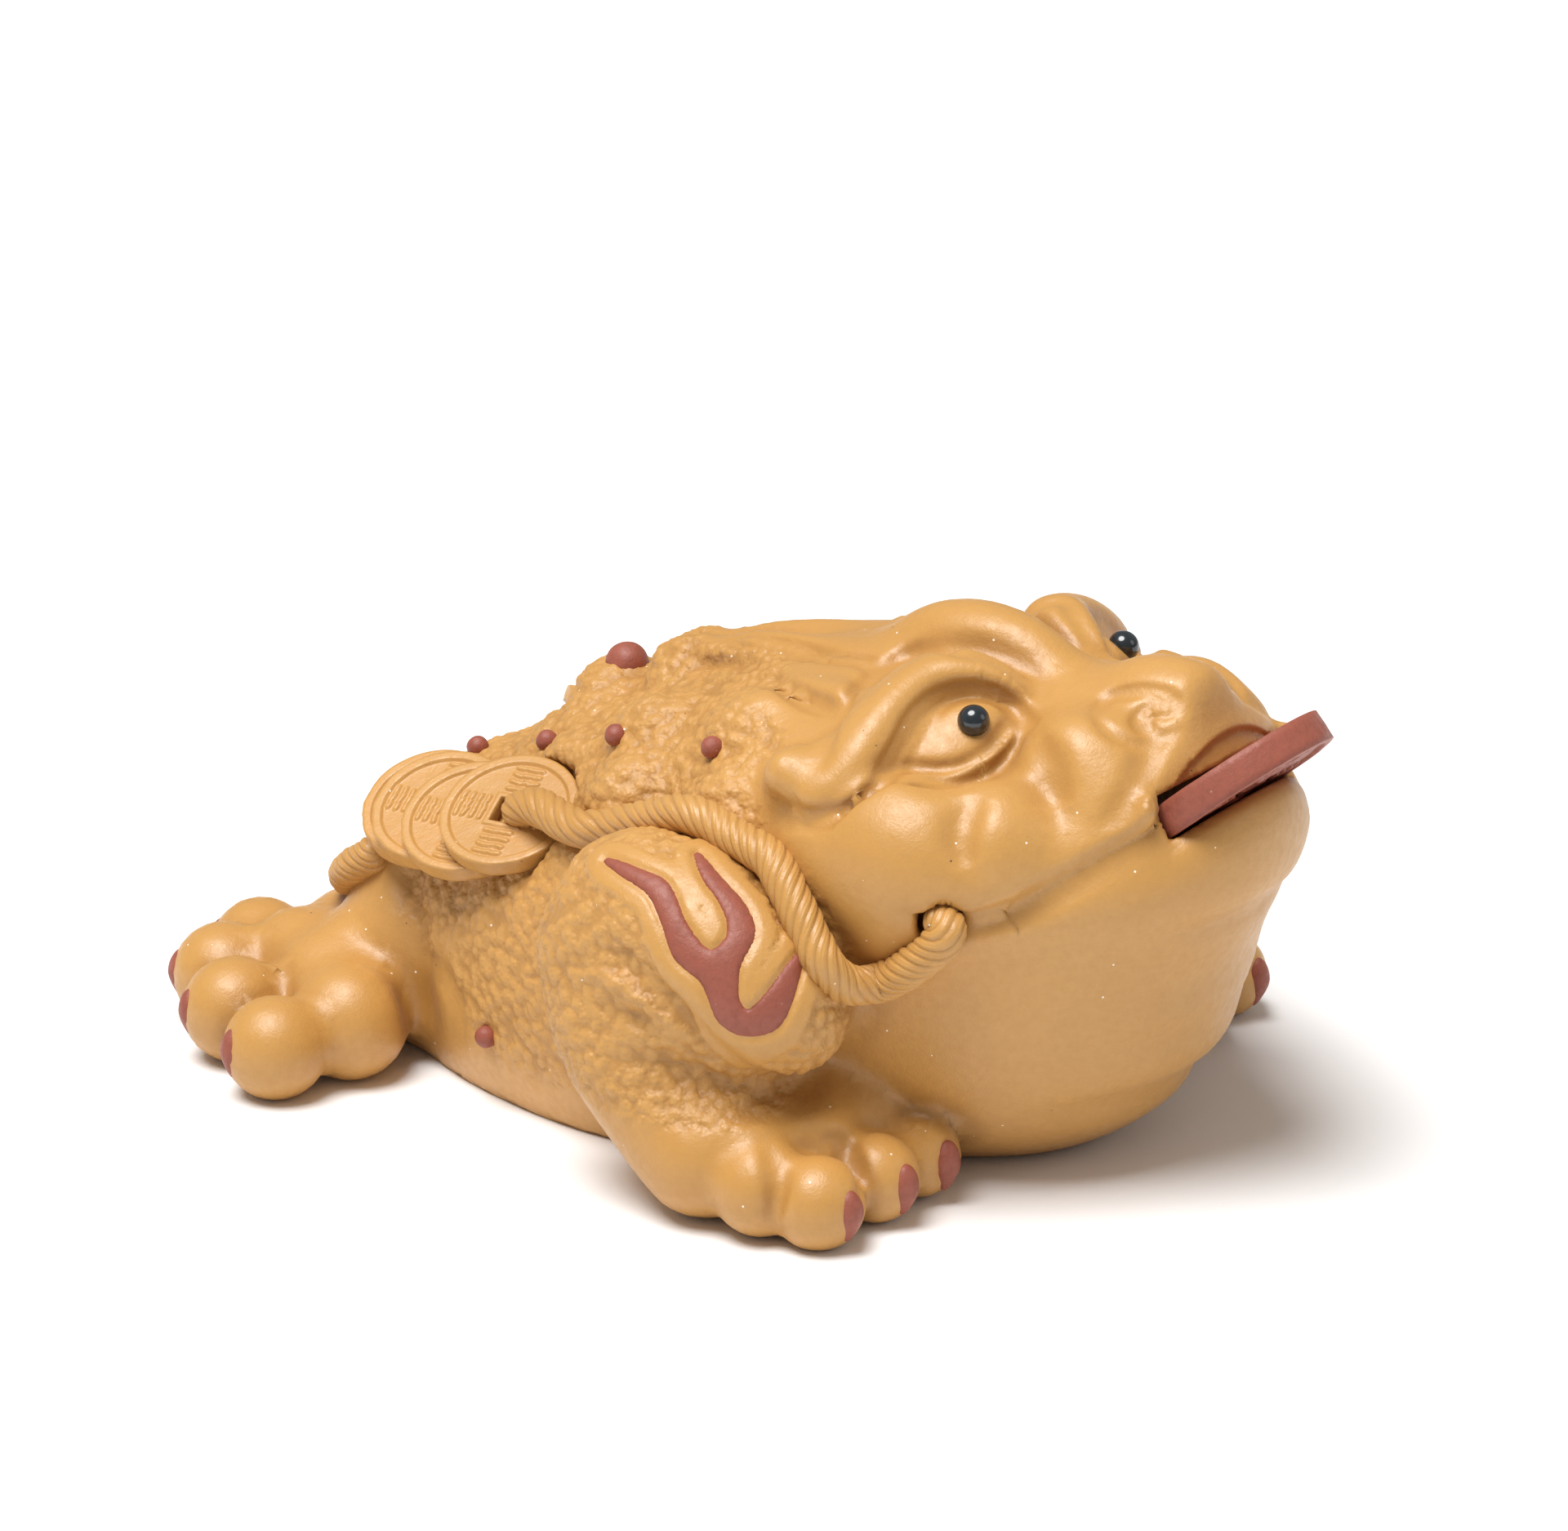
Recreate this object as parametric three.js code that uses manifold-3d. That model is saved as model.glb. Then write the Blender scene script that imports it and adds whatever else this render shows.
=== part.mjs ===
// A fired clay toad with a coin in its mouth, cast in one piece, with applied beads, claws, ropes and coins.
// It faces -Y and stands on its flat belly at Z = 0, in millimetres, with +Z up.

import * as THREE from 'three';
import { mergeVertices } from 'three/addons/utils/BufferGeometryUtils.js';
import Module from 'manifold-3d';

const wasm = await Module();
wasm.setup();

// Sizes of the figure and of each applied piece.
const FIGURE_LENGTH = 146;
const EYE_RADIUS = 1.85;
const WART_RADIUS = 1.35;
const GREAT_WART_RADIUS = 2.6;
const CLAW_LENGTH = 6.2;
const CLAW_WIDTH = 3.6;
const CLAW_THICKNESS = 3.0;
const ROPE_DIAMETER = 4.6;
const MOUTH_COIN_DIAMETER = 24.6;
const MOUTH_COIN_THICKNESS = 3.8;
const MOUTH_COIN_TILT = 41;
const SLOT_HEADROOM = 0.5;
const BACK_COIN_DIAMETER = 17;
const BACK_COIN_THICKNESS = 2.2;
const COIN_RIM_WIDTH = 1.3;
const COIN_RIM_HEIGHT = 0.4;
const COIN_HOLE_WIDTH = 3.6;
const CLEARANCE = 0.3;
const FLAME_SWELL = 0.4;
const CHEEK_HOLE_DEPTH = 4;
const CHEEK_HOLE_MARGIN = 0.6;
const ROPE_END_MARGIN = 1.2;

// How far a bead's centre stands out of the skin (inside it where negative) and a claw's sinks in, as shares
// of the radius. A rope: of its thickness.
const BEAD_RISE = 0.15;
const GREAT_WART_RISE = -0.3;
const CLAW_SINK = 0.82;
const ROPE_RISE = 0.28;
const ROPE_ON_COIN = 0.62;

// Form is laid out in 160ths of the figure's length, mouth coin to hind claws: (forward, side, up).
const UNIT = FIGURE_LENGTH / 160;

// The box that holds the clay, and how finely it is faceted. The front and the top are finer than the rest.
const BOX_BACK = -86;
const BOX_FRONT = 82;
const BOX_SIDE = 62;
const BOX_BOTTOM = -12;
const BOX_TOP = 76;
const FINE_FORWARD = 20;
const FINE_UP = 34;
const COARSE_CELL = 5.2;
const FINE_CELL = 3.6;
const SETTLE_ROUNDS = 6;
const ROPE_SIDES = 8;
const ROPE_STEP = 7;
const COIN_SIDES = 16;
const BALL_SIDES = 8;
const POCKET_SIDES = 6;

const CLAY_COLOUR = '#b98a45';
const RED_CLAY_COLOUR = '#7d3f33';
const BEAD_COLOUR = '#20262b';

const finishes = {
  clay: { color: CLAY_COLOUR, roughness: 0.55, metalness: 0 },
  redClay: { color: RED_CLAY_COLOUR, roughness: 0.6, metalness: 0 },
  bead: { color: BEAD_COLOUR, roughness: 0.15, metalness: 0 },
};

const toad = new THREE.Group();

function place(name, geometry, finish) {
  const mesh = new THREE.Mesh(geometry, new THREE.MeshStandardMaterial(finishes[finish]));
  mesh.name = name;
  toad.add(mesh);
}

// Soft modelling in a distance field: each step changes the field inside its own box.
// The clay runs on to this depth under the ground, where it is cut flat later.
const LOWEST = -3;
const FILLED = 0.5;

function smoothMin(a, b, blend) {
  const h = Math.max(blend - Math.abs(a - b), 0) / blend;
  return Math.min(a, b) - (h * h * blend) / 4;
}

function spread(points, steps = 5) {
  if (points.length < 3) {
    return points;
  }
  const last = points.length - 1;
  const out = [];
  for (let i = 0; i < last; i += 1) {
    const b = points[i];
    const c = points[i + 1];
    const a = i > 0 ? points[i - 1] : b.map((value, k) => 2 * value - c[k]);
    const d = i < last - 1 ? points[i + 2] : c.map((value, k) => 2 * value - b[k]);
    for (let step = 0; step < steps; step += 1) {
      const t = step / steps;
      out.push(
        b.map(
          (value, k) =>
            0.5 *
            (2 * value +
              (c[k] - a[k]) * t +
              (2 * a[k] - 5 * value + 4 * c[k] - d[k]) * t * t +
              (3 * value - a[k] - 3 * c[k] + d[k]) * t * t * t),
        ),
      );
    }
  }
  out.push(points[last]);
  return out;
}

function nearestOnPath(p, path) {
  let best = Infinity;
  let extra = 0;
  let score = Infinity;
  for (let i = 0; i < path.length - 1; i += 1) {
    const [ax, ay, az, ae] = path[i];
    const [bx, by, bz, be] = path[i + 1];
    const vx = bx - ax;
    const vy = by - ay;
    const vz = bz - az;
    const length2 = vx * vx + vy * vy + vz * vz;
    const along = ((p[0] - ax) * vx + (p[1] - ay) * vy + (p[2] - az) * vz) / length2;
    const t = Math.min(Math.max(along, 0), 1);
    const gap = Math.hypot(p[0] - ax - t * vx, p[1] - ay - t * vy, p[2] - az - t * vz);
    const here = ae + t * (be - ae);
    if (gap < best) {
      best = gap;
      extra = here;
    }
    score = Math.min(score, gap - here);
  }
  return { gap: best, extra, skin: score };
}

class Clay {
  constructor() {
    this.steps = [];
  }

  put(low, high, change, mirrored) {
    this.steps.push({ low, high, change, mirrored });
  }

  join(low, high, gap, { blend, cut, mirrored }) {
    const change = cut
      ? (p, d) => -smoothMin(-d, gap(p), blend)
      : (p, d) => smoothMin(d, gap(p), blend);
    this.put(low, high, change, mirrored);
  }

  lobe(centre, radii, { turn = [0, 0, 0], blend = 4, cut = false, mirrored = true } = {}) {
    const [yaw, pitch, roll] = turn.map(THREE.MathUtils.degToRad);
    const matrix = new THREE.Matrix4()
      .makeRotationZ(yaw)
      .multiply(new THREE.Matrix4().makeRotationY(-pitch))
      .multiply(new THREE.Matrix4().makeRotationX(roll));
    const m = matrix.elements;
    const reach = Math.max(...radii) + blend + COARSE_CELL;
    const gap = (p) => {
      const dx = p[0] - centre[0];
      const dy = p[1] - centre[1];
      const dz = p[2] - centre[2];
      const a = (m[0] * dx + m[1] * dy + m[2] * dz) / radii[0];
      const b = (m[4] * dx + m[5] * dy + m[6] * dz) / radii[1];
      const c = (m[8] * dx + m[9] * dy + m[10] * dz) / radii[2];
      const k0 = Math.hypot(a, b, c);
      const k1 = Math.hypot(a / radii[0], b / radii[1], c / radii[2]);
      return k0 < 1e-3 ? -Math.min(...radii) : (k0 * (k0 - 1)) / k1;
    };
    this.join(
      centre.map((value) => value - reach),
      centre.map((value) => value + reach),
      gap,
      { blend, cut, mirrored },
    );
  }

  limb(points, { blend = 4, cut = false, mirrored = true } = {}) {
    const path = spread(points);
    const reach = Math.max(...path.map((q) => q[3])) + blend + COARSE_CELL;
    const [low, high] = boundsOf(path, reach);
    this.join(low, high, (p) => nearestOnPath(p, path).skin, { blend, cut, mirrored });
  }

  // A soft groove along a curve on the skin; a ridge where the depth is negative.
  crease(points, width, depth, { mirrored = true } = {}) {
    const path = spread(points.map(([f, x, z, strength = 1]) => [f, x, z, strength]));
    const [low, high] = boundsOf(path, 3 * width);
    const change = (p, d) => {
      const near = nearestOnPath(p, path);
      return d + depth * near.extra * Math.exp(-((near.gap / width) ** 2));
    };
    this.put(low, high, change, mirrored);
  }

  field(f, x, z) {
    const folded = [f, Math.sqrt(x * x + 0.6), z];
    const plain = [f, x, z];
    let d = 60;
    for (const { low, high, change, mirrored } of this.steps) {
      const p = mirrored ? folded : plain;
      if (p.every((value, i) => value > low[i] && value < high[i])) {
        d = change(p, d);
      }
    }
    return Math.max(d, LOWEST - z);
  }

  slope(p) {
    const h = 0.2;
    const along = [0, 1, 2].map((i) => {
      const a = [...p];
      const b = [...p];
      a[i] += h;
      b[i] -= h;
      return this.field(...a) - this.field(...b);
    });
    const size = Math.hypot(...along) || 1;
    return along.map((value) => value / size);
  }

  // Moves a point straight to the skin, or to a level above or below it.
  settle(p, level = 0, rounds = SETTLE_ROUNDS) {
    let q = [...p];
    for (let i = 0; i < rounds; i += 1) {
      const n = this.slope(q);
      const d = this.field(...q) - level;
      q = q.map((value, k) => value - n[k] * d * 0.9);
    }
    return q;
  }
}

function boundsOf(path, reach) {
  const low = [0, 1, 2].map((i) => Math.min(...path.map((q) => q[i])) - reach);
  const high = [0, 1, 2].map((i) => Math.max(...path.map((q) => q[i])) + reach);
  return [low, high];
}

// Stations along one axis: coarse up to a place, and fine from there on.
function stations(from, change, to) {
  const out = [from];
  while (out[out.length - 1] < to) {
    const here = out[out.length - 1];
    out.push(here + (here < change ? COARSE_CELL : FINE_CELL));
  }
  return out;
}

const EDGES = [
  [1, 2],
  [2, 0],
  [0, 1],
];

// Where clay meets clay only across the diagonal of a square of the grid, one open corner is filled.
function fillPinches(values, step) {
  let open = true;
  while (open) {
    open = false;
    for (const [u, v] of EDGES) {
      const far = step[u] + step[v];
      for (let a = 0; a < values.length - far; a += 1) {
        const [here, beside, across, above] = [a, a + step[u], a + far, a + step[v]];
        const inside = values[here] < 0;
        if (inside !== values[across] < 0 || values[beside] < 0 !== values[above] < 0) {
          continue;
        }
        if (inside === values[beside] < 0) {
          continue;
        }
        const pair = inside ? [beside, above] : [here, across];
        values[values[pair[0]] < values[pair[1]] ? pair[0] : pair[1]] = -FILLED;
        open = true;
      }
    }
  }
}

// One vertex in each cell that the skin crosses, one quad for each crossed edge.
function skin(clay) {
  const axes = [
    stations(BOX_BACK, FINE_FORWARD, BOX_FRONT),
    stations(-BOX_SIDE, BOX_SIDE, BOX_SIDE),
    stations(BOX_BOTTOM, FINE_UP, BOX_TOP),
  ];
  const size = axes.map((axis) => axis.length);
  const index = (i, j, k) => (i * size[1] + j) * size[2] + k;
  const values = new Float32Array(size[0] * size[1] * size[2]);
  for (let i = 0; i < size[0]; i += 1) {
    for (let j = 0; j < size[1]; j += 1) {
      for (let k = 0; k < size[2]; k += 1) {
        values[index(i, j, k)] = clay.field(axes[0][i], axes[1][j], axes[2][k]);
      }
    }
  }
  const step = [index(1, 0, 0), index(0, 1, 0), index(0, 0, 1)];
  fillPinches(values, step);
  const ids = new Int32Array(values.length).fill(-1);
  const positions = [];
  for (let i = 0; i < size[0] - 1; i += 1) {
    for (let j = 0; j < size[1] - 1; j += 1) {
      for (let k = 0; k < size[2] - 1; k += 1) {
        const base = index(i, j, k);
        const sum = [0, 0, 0];
        let hits = 0;
        for (let corner = 0; corner < 8; corner += 1) {
          const offset = [corner & 1, (corner >> 1) & 1, (corner >> 2) & 1];
          const a = base + offset[0] * step[0] + offset[1] * step[1] + offset[2] * step[2];
          for (let axis = 0; axis < 3; axis += 1) {
            if (offset[axis]) {
              continue;
            }
            const va = values[a];
            const vb = values[a + step[axis]];
            if (va < 0 !== vb < 0) {
              const at = [...offset];
              at[axis] = va / (va - vb);
              at.forEach((value, q) => {
                sum[q] += value;
              });
              hits += 1;
            }
          }
        }
        if (hits) {
          const cell = [i, j, k];
          const start = sum.map((value, q) => {
            const low = axes[q][cell[q]];
            return low + (value / hits) * (axes[q][cell[q] + 1] - low);
          });
          ids[base] = positions.length / 3;
          positions.push(...toWorld(clay.settle(start, 0, 2)));
        }
      }
    }
  }
  const triangles = [];
  for (let axis = 0; axis < 3; axis += 1) {
    const [u, v] = EDGES[axis];
    for (let i = 1; i < size[0] - 1; i += 1) {
      for (let j = 1; j < size[1] - 1; j += 1) {
        for (let k = 1; k < size[2] - 1; k += 1) {
          const a = index(i, j, k);
          const inside = values[a] < 0;
          if (inside === values[a + step[axis]] < 0) {
            continue;
          }
          const ring = [a - step[u] - step[v], a - step[v], a, a - step[u]].map((q) => ids[q]);
          if (!inside) {
            ring.reverse();
          }
          triangles.push(ring[0], ring[1], ring[2], ring[0], ring[2], ring[3]);
        }
      }
    }
  }
  return solidOf(positions, triangles);
}

function toWorld([f, x, z]) {
  return [x * UNIT, -f * UNIT, z * UNIT];
}

function directionToWorld([f, x, z]) {
  return new THREE.Vector3(x, -f, z).normalize();
}

// Joining and cutting.
function solidOf(vertProperties, triVerts) {
  const mesh = new wasm.Mesh({
    numProp: 3,
    vertProperties: new Float32Array(vertProperties),
    triVerts: new Uint32Array(triVerts),
  });
  return new wasm.Manifold(mesh);
}

function solid(geometry) {
  const bare = geometry.clone();
  bare.deleteAttribute('normal');
  bare.deleteAttribute('uv');
  const merged = mergeVertices(bare);
  const index = merged.index.array;
  const position = merged.attributes.position.array;
  const kept = [];
  for (let i = 0; i < index.length; i += 3) {
    const [a, b, c] = [index[i], index[i + 1], index[i + 2]];
    if (a !== b && b !== c && a !== c) {
      kept.push(a, b, c);
    }
  }
  return solidOf(position, kept);
}

function geometryOf(shape) {
  const { vertProperties, triVerts } = shape.getMesh();
  const geometry = new THREE.BufferGeometry();
  geometry.setAttribute('position', new THREE.BufferAttribute(vertProperties, 3));
  geometry.setIndex(new THREE.BufferAttribute(triVerts, 1));
  const flat = geometry.toNonIndexed();
  flat.computeVertexNormals();
  return flat;
}

function torso(clay) {
  clay.lobe([-25, 0, 12], [31, 33, 30], { blend: 10 });
  clay.lobe([-6, 0, 16], [33, 39, 37], { blend: 10 });
  clay.lobe([16, 0, 26], [26, 34, 33], { blend: 8 });
  clay.lobe([28, 0, 26], [36, 32, 29.5], { blend: 8 });
  clay.lobe([30, 0, 43], [39.5, 33, 17], { blend: 13 });
}

function head(clay) {
  clay.lobe([32, 0, 49.5], [22, 25, 12], { turn: [0, 4, 0], blend: 6 });
  clay.lobe([50, 0, 53], [17, 13, 9], { turn: [0, -4, 0], blend: 6 });
  clay.lobe([34, 27, 44], [15, 10, 11], { blend: 6 });
  clay.lobe([29, 0, 58], [15.5, 7.5, 10.8], { blend: 3 });
  clay.lobe([56.5, 0, 58], [12, 8, 9], { blend: 3 });
  // upper lip
  clay.lobe([61.4, 0, 51.9], [14.5, 18, 5.8], { turn: [0, 36, 0], blend: 3 });
  // chin
  clay.lobe([55, 0, 46.5], [16.5, 21, 13], { turn: [0, 6, 0], blend: 7 });
}

const EYE = [38.3, 16.9, 59.7];

function face(clay) {
  // socket of the eye, and the eyeball in it
  clay.lobe([40, 22.5, 63.5], [12, 11.5, 11], { blend: 3, cut: true });
  clay.lobe([33.4, 15.2, 52.6], [11.5, 9, 7.6], { turn: [-43, 12, 0], blend: 2 });
  clay.lobe([34.2, 14.8, 55.8], [8.6, 6, 5.4], { turn: [-43, 20, 0], blend: 1 });
  // muzzle lobes between the nose and the cheek
  clay.lobe([53, 12, 52.5], [8, 7.5, 10], { turn: [-35, 30, 0], blend: 4 });
  clay.lobe([46, 24, 47], [8, 8, 8.2], { turn: [-40, 10, 0], blend: 3 });
  clay.lobe([36.5, 29, 45], [10, 8.5, 9.5], { blend: 3 });
  // brow: from the nose over the eye, round and down to a curled end
  clay.limb([[42.8, 5.4, 59, 1.8], [40.9, 6.8, 59.8, 2.6], [37, 8.8, 61.6, 3.4], [32.3, 11.4, 62.4, 4],
    [29.5, 15, 61, 4.5],
      [28.6, 20.4, 58, 5.2], [27.4, 24.8, 54.6, 5.9], [25.2, 29, 51, 6]], { blend: 0.8 });
  clay.lobe([20.8, 28.8, 51.6], [4.8, 4.6, 5], { blend: 0.8 });
}

function faceLines(clay) {
  // between the forehead and the brow
  clay.crease([[23.1, 20.0, 61.4, 0.2], [21.0, 10.6, 61.9], [24.1, 7.0, 63.4], [29.5, 5.9, 64.8],
       [34.6, 5.3, 64.7], [39.4, 5.7, 63.4], [44.1, 7.7, 62.2, 0.2]], 1.8, 0.9);
  // between the muzzle lobes
  clay.crease([[47.5, 16.6, 59.7, 0.2], [50.8, 19.5, 57.7], [52.2, 20.6, 55.5],
    [54.2, 21.6, 53.2, 0.2]], 2.4, 1.7);
  // between the muzzle and the cheek
  clay.crease([[45.9, 26.7, 54.9, 0.2], [45.9, 29.9, 53.1], [46.6, 31.9, 50.5],
    [48.3, 32.3, 47.4, 0.2]], 2.2, 1.5);
  // beside the nose
  clay.crease([[60.2, 9.8, 60.2, 0.2], [61.7, 13.7, 58.3], [62.2, 16.7, 56.4], [61.5, 19.1, 53.7],
       [59.7, 20.5, 51.7, 0.2]], 2.0, 1.5);
  // mouth
  clay.crease([[47.5, 32.2, 39.4], [52.5, 28.6, 41.5], [56.8, 25.1, 44.1], [60.7, 21.9, 47.2],
       [64.1, 19.0, 50.3], [66.4, 17.1, 52.4]], 1.7, 1.4);
  // lower lip
  clay.crease([[47.7, 31.0, 37.1, 0.2], [52.7, 27.7, 39.0], [58.5, 24.0, 42.6], [62.9, 20.5, 46.3],
       [66.5, 16.8, 50.2, 0.2]], 1.8, -0.5);
}

function backLines(clay) {
  // edge of the tuft along the spine
  clay.crease([[-11.9, 2.7, 57.2, 0.2], [-5.7, 4.6, 58.8], [-0.6, 5.5, 59.5], [5.4, 6.9, 59.8],
       [11.9, 9.0, 60.9], [16.8, 9.6, 61.6], [20.0, 11.4, 61.6, 0.2]], 1.3, 1.2);
  // edge of the tuft behind the brow
  clay.crease([[-0.9, 12.3, 55.9, 0.2], [5.0, 13.6, 58.1], [10.6, 17.0, 58.6], [15.2, 19.1, 58.5],
       [20.8, 21.0, 59.1, 0.2]], 1.2, 1.0);
}

const MOUNDS = [
  [7, 18, 51, 7],
  [-10, 15, 46.5, 7],
  [-29, 7, 39, 7],
  [-14, 0, 50, 7],
  [10, 27, 44, 7],
  [-8, 23.5, 41.5, 7],
  [-27, 0, 45, 7],
  [-40, 4, 32, 7],
  [-22, 15, 40, 5.5],
];

function back(clay) {
  // tufts sweeping back from the brow
  clay.limb([[24, 5, 57.2, 5], [10, 4, 56.9, 4.3], [-4, 3.5, 56.2, 3.2],
    [-14, 2, 54.5, 1.6]], { blend: 1.2 });
  clay.limb([[27, 19, 58, 4.5], [15, 15.5, 57, 3.2], [5, 13, 56, 1.5]], { blend: 1.2 });
  // warty mounds
  for (const [f, x, z, r] of MOUNDS) {
    clay.lobe([f, x, z], [r, r, 5.5], { blend: 2.5 });
  }
}

function arm(clay) {
  clay.lobe([14, 40, 31], [21, 13, 13], { turn: [0, -22, 0], blend: 3 });
  clay.limb([[1, 44, 30, 8], [6, 45.5, 21, 9], [14, 47, 12, 8], [19, 48, 8, 7.4]], { blend: 4 });
  clay.lobe([20, 42, 9], [10, 11, 8.5], { blend: 4 });
  clay.lobe([23, 34, 9], [11, 9, 8], { blend: 4 });
  clay.lobe([12, 37, 13], [12, 6, 13], { blend: 3 });
}

const FRONT_TOES = [
  [[28.6, 48.6, 6.4, 6.2], [36.0, 46.9, 5.4, 5.9]],
  [[29.6, 38.4, 8, 5.9], [37.4, 36.5, 5.5, 5.6]],
  [[30.2, 29.4, 8.8, 5.7], [37.7, 27.5, 5.6, 5.4]],
];

function frontToes(clay) {
  for (const [knuckle, tip] of FRONT_TOES) {
    clay.lobe(knuckle.slice(0, 3), [knuckle[3], knuckle[3], knuckle[3]], { blend: 2 });
    clay.lobe(tip.slice(0, 3), [tip[3], tip[3], tip[3]], { blend: 1.5 });
  }
}

const HIND_TOES = [
  [[-44.9, -36.7, 7.4, 7.7], [-48.6, -47.4, 6.4, 6.8]],
  [[-53.2, -30.5, 8.5, 7.4], [-60.6, -40.6, 6.8, 7]],
  [[-62.0, -25.3, 8.5, 7], [-69.8, -31.5, 6.8, 6.9]],
  [[-61, -15.5, 8.5, 7], [-71.8, -21.3, 6.8, 6.7]],
];

function hindLeg(clay) {
  clay.limb([[-41, -11, 21, 15], [-46, -18, 13, 12], [-51, -22, 9, 9]], { blend: 6, mirrored: false });
  for (const [knuckle, tip] of HIND_TOES) {
    clay.lobe(knuckle.slice(0, 3), [knuckle[3], knuckle[3], knuckle[3]], { blend: 4, mirrored: false });
    clay.lobe(tip.slice(0, 3), [tip[3], tip[3], tip[3]], { blend: 2, mirrored: false });
  }
  clay.crease([[-42.8, -26.5, 24.5], [-39.9, -29.9, 17.8],
    [-38.1, -31.2, 9.5]], 2.5, 2.0, { mirrored: false });
}

function throat(clay) {
  clay.crease([[65.8, 14.9, 37.2, 0.2], [69.6, 0, 36.5]], 2.2, 1.2);
  clay.crease([[64.1, 14.6, 26.8, 0.2], [67.1, 0, 26.4]], 2.2, 1.2);
  clay.crease([[59.3, 19.2, 20, 0.2], [66.3, 0, 19.7]], 2.2, 1.2);
  clay.crease([[50, 22, 10, 0.2], [57.5, 10, 10.5], [59.5, 0, 10.5]], 2.5, 2.2);
}

const clay = new Clay();
for (const model of [torso, head, back, backLines, face, faceLines, throat, arm, frontToes, hindLeg]) {
  model(clay);
}

const UP = new THREE.Vector3(0, 0, 1);
const FORWARD = new THREE.Vector3(0, -1, 0);
const SIDES = [
  ['right', -1],
  ['left', 1],
];

function flip([f, x, z, ...rest], side) {
  return [f, x * side, z, ...rest];
}

// Where a piece sits: the skin point under a rough place, and the way out of the clay there.
function seat(rough, rise = 0) {
  const point = clay.settle(rough);
  const out = directionToWorld(clay.slope(point));
  const centre = new THREE.Vector3(...toWorld(point)).addScaledVector(out, rise);
  return { centre, out };
}

// The place of a piece made along Z: its Z goes along `out` and its X as near `upward` as can be.
function standing(centre, out, upward = UP) {
  const across = new THREE.Vector3().crossVectors(out, upward).normalize();
  const rise = new THREE.Vector3().crossVectors(across, out);
  return new THREE.Matrix4().makeBasis(rise, across, out).setPosition(centre);
}

// A piece keeps its own solid; its pocket in the clay is larger by the clearance.
const pockets = [];

function ball(radius) {
  return new THREE.SphereGeometry(radius, BALL_SIDES, BALL_SIDES / 2);
}

// A coarser ball, large enough for its flats to hold the round ball inside.
function ballPocket(radius) {
  const flat = Math.cos(Math.PI / POCKET_SIDES) ** 2;
  return new THREE.SphereGeometry(radius / flat, POCKET_SIDES, POCKET_SIDES / 2);
}

function bead(name, rough, radius, finish, rise = BEAD_RISE) {
  const { centre, out } = seat(rough, radius * rise);
  const matrix = standing(centre, out);
  place(name, ball(radius).applyMatrix4(matrix), finish);
  pockets.push(solid(ballPocket(radius + CLEARANCE).applyMatrix4(matrix)));
}

function claw(name, toe, toward) {
  const out = directionToWorld(toward);
  const centre = new THREE.Vector3(...toWorld(toe)).addScaledVector(out, toe[3] * UNIT * CLAW_SINK);
  const matrix = standing(centre, out);
  const half = [CLAW_LENGTH / 2, CLAW_WIDTH / 2, CLAW_THICKNESS / 2];
  const room = half.map((value) => value + CLEARANCE);
  place(name, ball(1).scale(...half).applyMatrix4(matrix), 'redClay');
  pockets.push(solid(ballPocket(1).scale(...room).applyMatrix4(matrix)));
}

// Beads: the eyes, the warts along the back, and one low on each flank.
const WARTS = [
  [4.9, 25.7, 52.2],
  [-13.3, 21.1, 48.7],
  [-29.4, 14.4, 42.8],
  [-44.1, 9.6, 37.3],
];
const GREAT_WART = [-26.8, 0, 49.5];
const FLANK_WART = [-23.4, 35.5, 9.9];

for (const [word, side] of SIDES) {
  bead(`eye_${word}`, flip(EYE, side), EYE_RADIUS, 'bead');
  WARTS.forEach((wart, i) => bead(`wart_${word}_${i + 1}`, flip(wart, side), WART_RADIUS, 'redClay'));
  bead(`wart_${word}_flank`, flip(FLANK_WART, side), WART_RADIUS, 'redClay');
}
bead('wart_great', GREAT_WART, GREAT_WART_RADIUS, 'redClay', GREAT_WART_RISE);

// Claws, one at the front of each toe ball.
const FRONT_CLAW_WAY = [0.99, 0.1, -0.07];
const HIND_CLAW_WAYS = [
  [-0.54, -0.84, 0],
  [-0.66, -0.75, 0],
  [-0.82, -0.57, 0],
  [-0.95, -0.3, 0],
];

for (const [word, side] of SIDES) {
  FRONT_TOES.forEach(([, tip], i) => {
    claw(`claw_${word}_${i + 1}`, flip(tip, side), flip(FRONT_CLAW_WAY, side));
  });
}
HIND_TOES.forEach(([, tip], i) => claw(`claw_hind_${i + 1}`, tip, HIND_CLAW_WAYS[i]));

// Ropes: one from a hole in each corner of the mouth to the coins, and one behind, round the rump.
const SIDE_ROPE = [
  [46.2, 34.2, 39.2],
  [41.4, 34.9, 33.8],
  [37, 34.7, 30.8],
  [34.5, 38.1, 31.1],
  [32.8, 40.9, 34.3],
  [30, 40.4, 37.8],
  [26, 39.1, 41.9],
  [21.8, 37.4, 44.7],
  [15.9, 36, 45.7],
  [8.6, 34.5, 45.7],
  [1.6, 33.5, 43.8],
  [-5.8, 32, 41.2],
  [-11, 31, 39.6],
];
const RUMP_ROPE = [
  [-48, -25, 27],
  [-55, -23, 22],
  [-59.5, -16, 17.5],
  [-58, -3, 17],
  [-55, 11, 20],
  [-48, 23, 27],
];

function ropeSection(radius) {
  const points = [];
  for (let i = 0; i < ROPE_SIDES; i += 1) {
    const angle = (2 * Math.PI * i) / ROPE_SIDES;
    points.push(new THREE.Vector2(radius * Math.cos(angle), radius * Math.sin(angle)));
  }
  return new THREE.Shape(points);
}

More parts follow.
